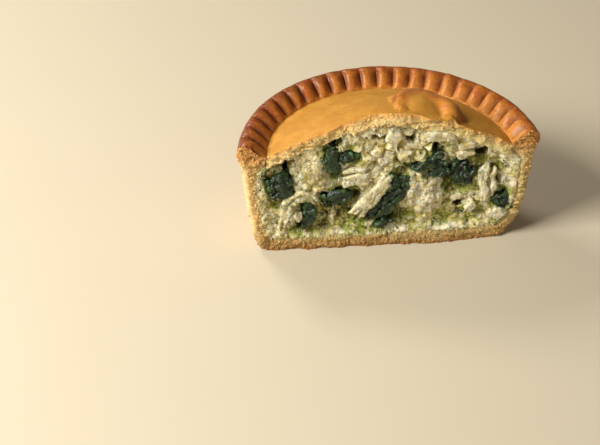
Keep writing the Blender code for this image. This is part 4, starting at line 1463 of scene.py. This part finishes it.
def torn_chicken(name, shape, finish, look, draw):
    """One torn piece of chicken: strands or lumps of meat grown together, with frayed bits on it."""
    *_, stain, strands = shape
    blocks = meat_strands(shape, look, draw) if strands else mealy_lumps(shape, draw)
    piece = grown_together(name, blocks)
    roughened(piece, shape, fibrous if strands else mealy)
    flat = points_of(piece.data)[:, [0, 2]]
    outline = np.clip(1.0 + beside(flat, CHICKEN) / 1.4, 0.0, 1.0)
    leaf_gap = np.clip(beside(flat, SPINACH) - 0.2, 0.0, None)
    # Real sauce staining, more towards each piece's outline; the finish adds painted shade in hollows.
    paint(piece.data, stain=stain + 0.25 * outline, green=np.exp(-leaf_gap / 0.8))
    return shaped_by(piece, frayed("frayed meat", crumb_shape), Density=0.9 / MM ** 2,
                     Smallest=0.1 * MM, Largest=0.5 * MM, Sink=0.1, Lumpiness=0.5, Material=finish)


def leaf(centre, direction, length_along, width, draw):
    """Points and faces of one curled leaf edge, thin and closed."""
    rows, columns = LEAF_ROWS, LEAF_COLUMNS
    side = np.array((-direction[1], direction[0]))
    seed = draw.uniform(0.0, 90.0)
    lift = draw.uniform(0.2, 1.4)
    sheets = []
    for thickness in (-0.2, 0.2):
        for i in range(rows + 1):
            t = i / rows
            half = 0.5 * width * math.sin(math.pi * (0.08 + 0.84 * t)) ** 0.6
            for j in range(columns + 1):
                s = 2.0 * j / columns - 1.0
                flat = centre + direction * length_along * (t - 0.5) + side * half * s
                wave = noise.noise((flat[0] / 1.8, seed, flat[1] / 1.8))
                flat = flat + 0.5 * wave * side
                y = CUT_Y + 1.5 - lift * (1.0 - s * s) + 1.3 * wave + thickness
                sheets.append((flat[0], y, flat[1]))
    stride = columns + 1
    back = stride * (rows + 1)
    faces = []
    for i in range(rows):
        for j in range(columns):
            a = i * stride + j
            faces.append((a, a + 1, a + stride + 1, a + stride))
            faces.append((back + a, back + a + stride, back + a + stride + 1, back + a + 1))
    border = [*range(columns), *(columns + stride * i for i in range(rows)),
              *(stride * rows + j for j in range(columns, 0, -1)),
              *(stride * i for i in range(rows, 0, -1))]
    for a, b in zip(border, border[1:] + border[:1]):
        faces.append((a, back + a, back + b, b))
    return np.array(sheets), faces


def wilted_spinach(name, shape, finish, look, draw):
    """One clump of wilted spinach: stems and crumpled leaves grown into a wet lump."""
    _, width, depth = shape
    centres, across, travelled = path_of(shape)
    count = len(centres)
    blocks = []
    strands = max(2, round(0.45 * width))
    for i in range(2 * strands):
        spread = 0.44 * width * (2.0 * (i % strands + draw.uniform(0.2, 0.8)) / strands - 1.0)
        begin = round(draw.uniform(0.0, 0.2) * count)
        end = round((1.0 - draw.uniform(0.0, 0.2)) * count)
        if end - begin < SHORTEST_STRAND:
            continue
        depth_in = 1.9 + (i // strands) * 0.3 * depth
        radius = draw.uniform(1.0, 1.9)
        seed = draw.uniform(0.0, 90.0)
        blocks.append(tube(strand(centres[begin:end], across[begin:end], spread, depth_in,
                                  radius, 1.2, seed)))
    for _ in range(round(look.leaves * (0.4 + 0.012 * width * travelled[-1]))):
        i = draw.integers(1, count - 1)
        along = np.array((across[i][1], -across[i][0]))
        turn = draw.uniform(-1.2, 1.2)
        direction = along * math.cos(turn) + across[i] * math.sin(turn)
        centre = centres[i] + across[i] * draw.uniform(-0.45, 0.45) * width
        blocks.append(leaf(centre, direction, draw.uniform(2.5, 5.5), draw.uniform(1.4, 3.0), draw))
    piece = grown_together(name, blocks)
    roughened(piece, shape, lambda place: look.crumple * wrinkled(place))
    outline = beside(points_of(piece.data)[:, [0, 2]], SPINACH)
    paint(piece.data, edge=np.clip(1.0 + outline / 1.6, 0.0, 1.0))
    piece.data.materials.append(finish)
    return piece


# ---------------------------------------------------------------- studio

def area_light(name, place, aim, size, power):
    """A soft square light."""
    light = bpy.data.lights.new(name, "AREA")
    light.size = size
    light.energy = power
    light.color = LIGHT_COLOUR
    lamp = new_object(name, light)
    lamp.location = place
    lamp.rotation_euler = (Vector(aim) - Vector(place)).to_track_quat("-Z", "Y").to_euler()


def studio(look):
    """Pale floor, soft light and the photograph's camera."""
    scene = bpy.context.scene
    finish = Finish("pale floor", {"Roughness": 0.7, "Specular IOR Level": 0.2})
    shade = finish.mix(look.floor, tuple(0.97 * c for c in look.floor), finish.noise(60.0))
    corners = [(side * FLOOR_REACH, depth * FLOOR_REACH, -FLOOR_DROP)
               for side, depth in ((-1, -1), (1, -1), (1, 1), (-1, 1))]
    floor = new_piece("floor", corners, [(0, 1, 2, 3)], finish.done(colour=shade))
    world = bpy.data.worlds.new("studio")
    world.use_nodes = True
    background = world.node_tree.nodes["Background"]
    background.inputs["Color"].default_value = WORLD_COLOUR
    background.inputs["Strength"].default_value = look.world
    scene.world = world
    for name, (place, aim, size) in LIGHTS.items():
        area_light(name, place, aim, size, getattr(look, name))
    scene.view_settings.view_transform = "Standard"
    elevation, azimuth = math.radians(CAMERA_ELEVATION), math.radians(CAMERA_AZIMUTH)
    away = Vector((math.sin(azimuth) * math.cos(elevation), -math.cos(azimuth) * math.cos(elevation),
                   math.sin(elevation)))
    lens = bpy.data.cameras.new("camera")
    lens.lens = LENS
    lens.clip_start = 0.01
    camera = new_object("camera", lens)
    camera.location = Vector(CAMERA_TARGET) + CAMERA_DISTANCE * away
    camera.rotation_euler = away.to_track_quat("Z", "Y").to_euler()
    scene.camera = camera


# ---------------------------------------------------------------- add-on

class PIE_OT_case(Operator):
    """Make the crimped case, cut through"""

    bl_idname = "pie.case"
    bl_label = "Pastry case"

    def execute(self, context):
        pastry_case(context.scene.pie_pastry)
        return {"FINISHED"}


class PIE_OT_lid(Operator):
    """Make the domed lid with its puffed fold"""

    bl_idname = "pie.lid"
    bl_label = "Pastry lid"

    def execute(self, context):
        pastry_lid(context.scene.pie_pastry)
        return {"FINISHED"}


class PIE_OT_filling(Operator):
    """Make the creamy filling with its curds, fine shreds and herbs"""

    bl_idname = "pie.filling"
    bl_label = "Creamy filling"

    def execute(self, context):
        creamy_filling(context.scene.pie_filling)
        return {"FINISHED"}


class PIE_OT_chicken(Operator):
    """Make the torn pieces of chicken"""

    bl_idname = "pie.chicken"
    bl_label = "Chicken"

    def execute(self, context):
        look = context.scene.pie_filling
        finish = chicken_finish(look)
        for i, shape in enumerate(CHICKEN):
            name = f"chicken_{i + 1:02d}"
            piece = torn_chicken(f"torn_{name}", shape, finish, look, np.random.default_rng(100 + i))
            finish_piece(piece, "chicken", name)
        return {"FINISHED"}


class PIE_OT_spinach(Operator):
    """Make the clumps of wilted spinach"""

    bl_idname = "pie.spinach"
    bl_label = "Spinach"

    def execute(self, context):
        look = context.scene.pie_filling
        finish = spinach_finish(look)
        for i, shape in enumerate(SPINACH):
            name = f"spinach_{i + 1:02d}"
            piece = wilted_spinach(f"wilted_{name}", shape, finish, look, np.random.default_rng(200 + i))
            finish_piece(piece, "spinach", name)
        return {"FINISHED"}


class PIE_OT_studio(Operator):
    """Make the pale floor, the soft lights and the camera"""

    bl_idname = "pie.studio"
    bl_label = "Studio"

    def execute(self, context):
        studio(context.scene.pie_studio)
        return {"FINISHED"}


class PIE_PT_parts(Panel):
    """The pie's pieces and what can be changed on them"""

    bl_label = "Half pie"
    bl_idname = "PIE_PT_parts"
    bl_space_type = "VIEW_3D"
    bl_region_type = "UI"
    bl_category = "Pie"

    def draw(self, context):
        for group, operators in PARTS.items():
            look = getattr(context.scene, group)
            box = self.layout.box()
            for operator in operators:
                box.operator(operator.bl_idname)
            for name in type(look).__annotations__:
                box.prop(look, name)


PARTS = {
    "pie_pastry": (PIE_OT_case, PIE_OT_lid),
    "pie_filling": (PIE_OT_filling, PIE_OT_chicken, PIE_OT_spinach),
    "pie_studio": (PIE_OT_studio,),
}
LOOKS = {"pie_pastry": PastryLook, "pie_filling": FillingLook, "pie_studio": StudioLook}
OPERATORS = [operator for operators in PARTS.values() for operator in operators]
CLASSES = (*LOOKS.values(), *OPERATORS, PIE_PT_parts)


def register():
    """Add the classes, and the three groups of sizes and colours to the scene."""
    for kind in CLASSES:
        bpy.utils.register_class(kind)
    for name, kind in LOOKS.items():
        setattr(bpy.types.Scene, name, PointerProperty(type=kind))


def unregister():
    """Take away what register added."""
    for name in LOOKS:
        delattr(bpy.types.Scene, name)
    for kind in reversed(CLASSES):
        bpy.utils.unregister_class(kind)


def main():
    """Make the studio and the pie."""
    register()
    bpy.ops.pie.studio()
    bpy.ops.pie.case()
    bpy.ops.pie.lid()
    bpy.ops.pie.filling()
    bpy.ops.pie.chicken()
    bpy.ops.pie.spinach()


if __name__ == "__main__":
    main()
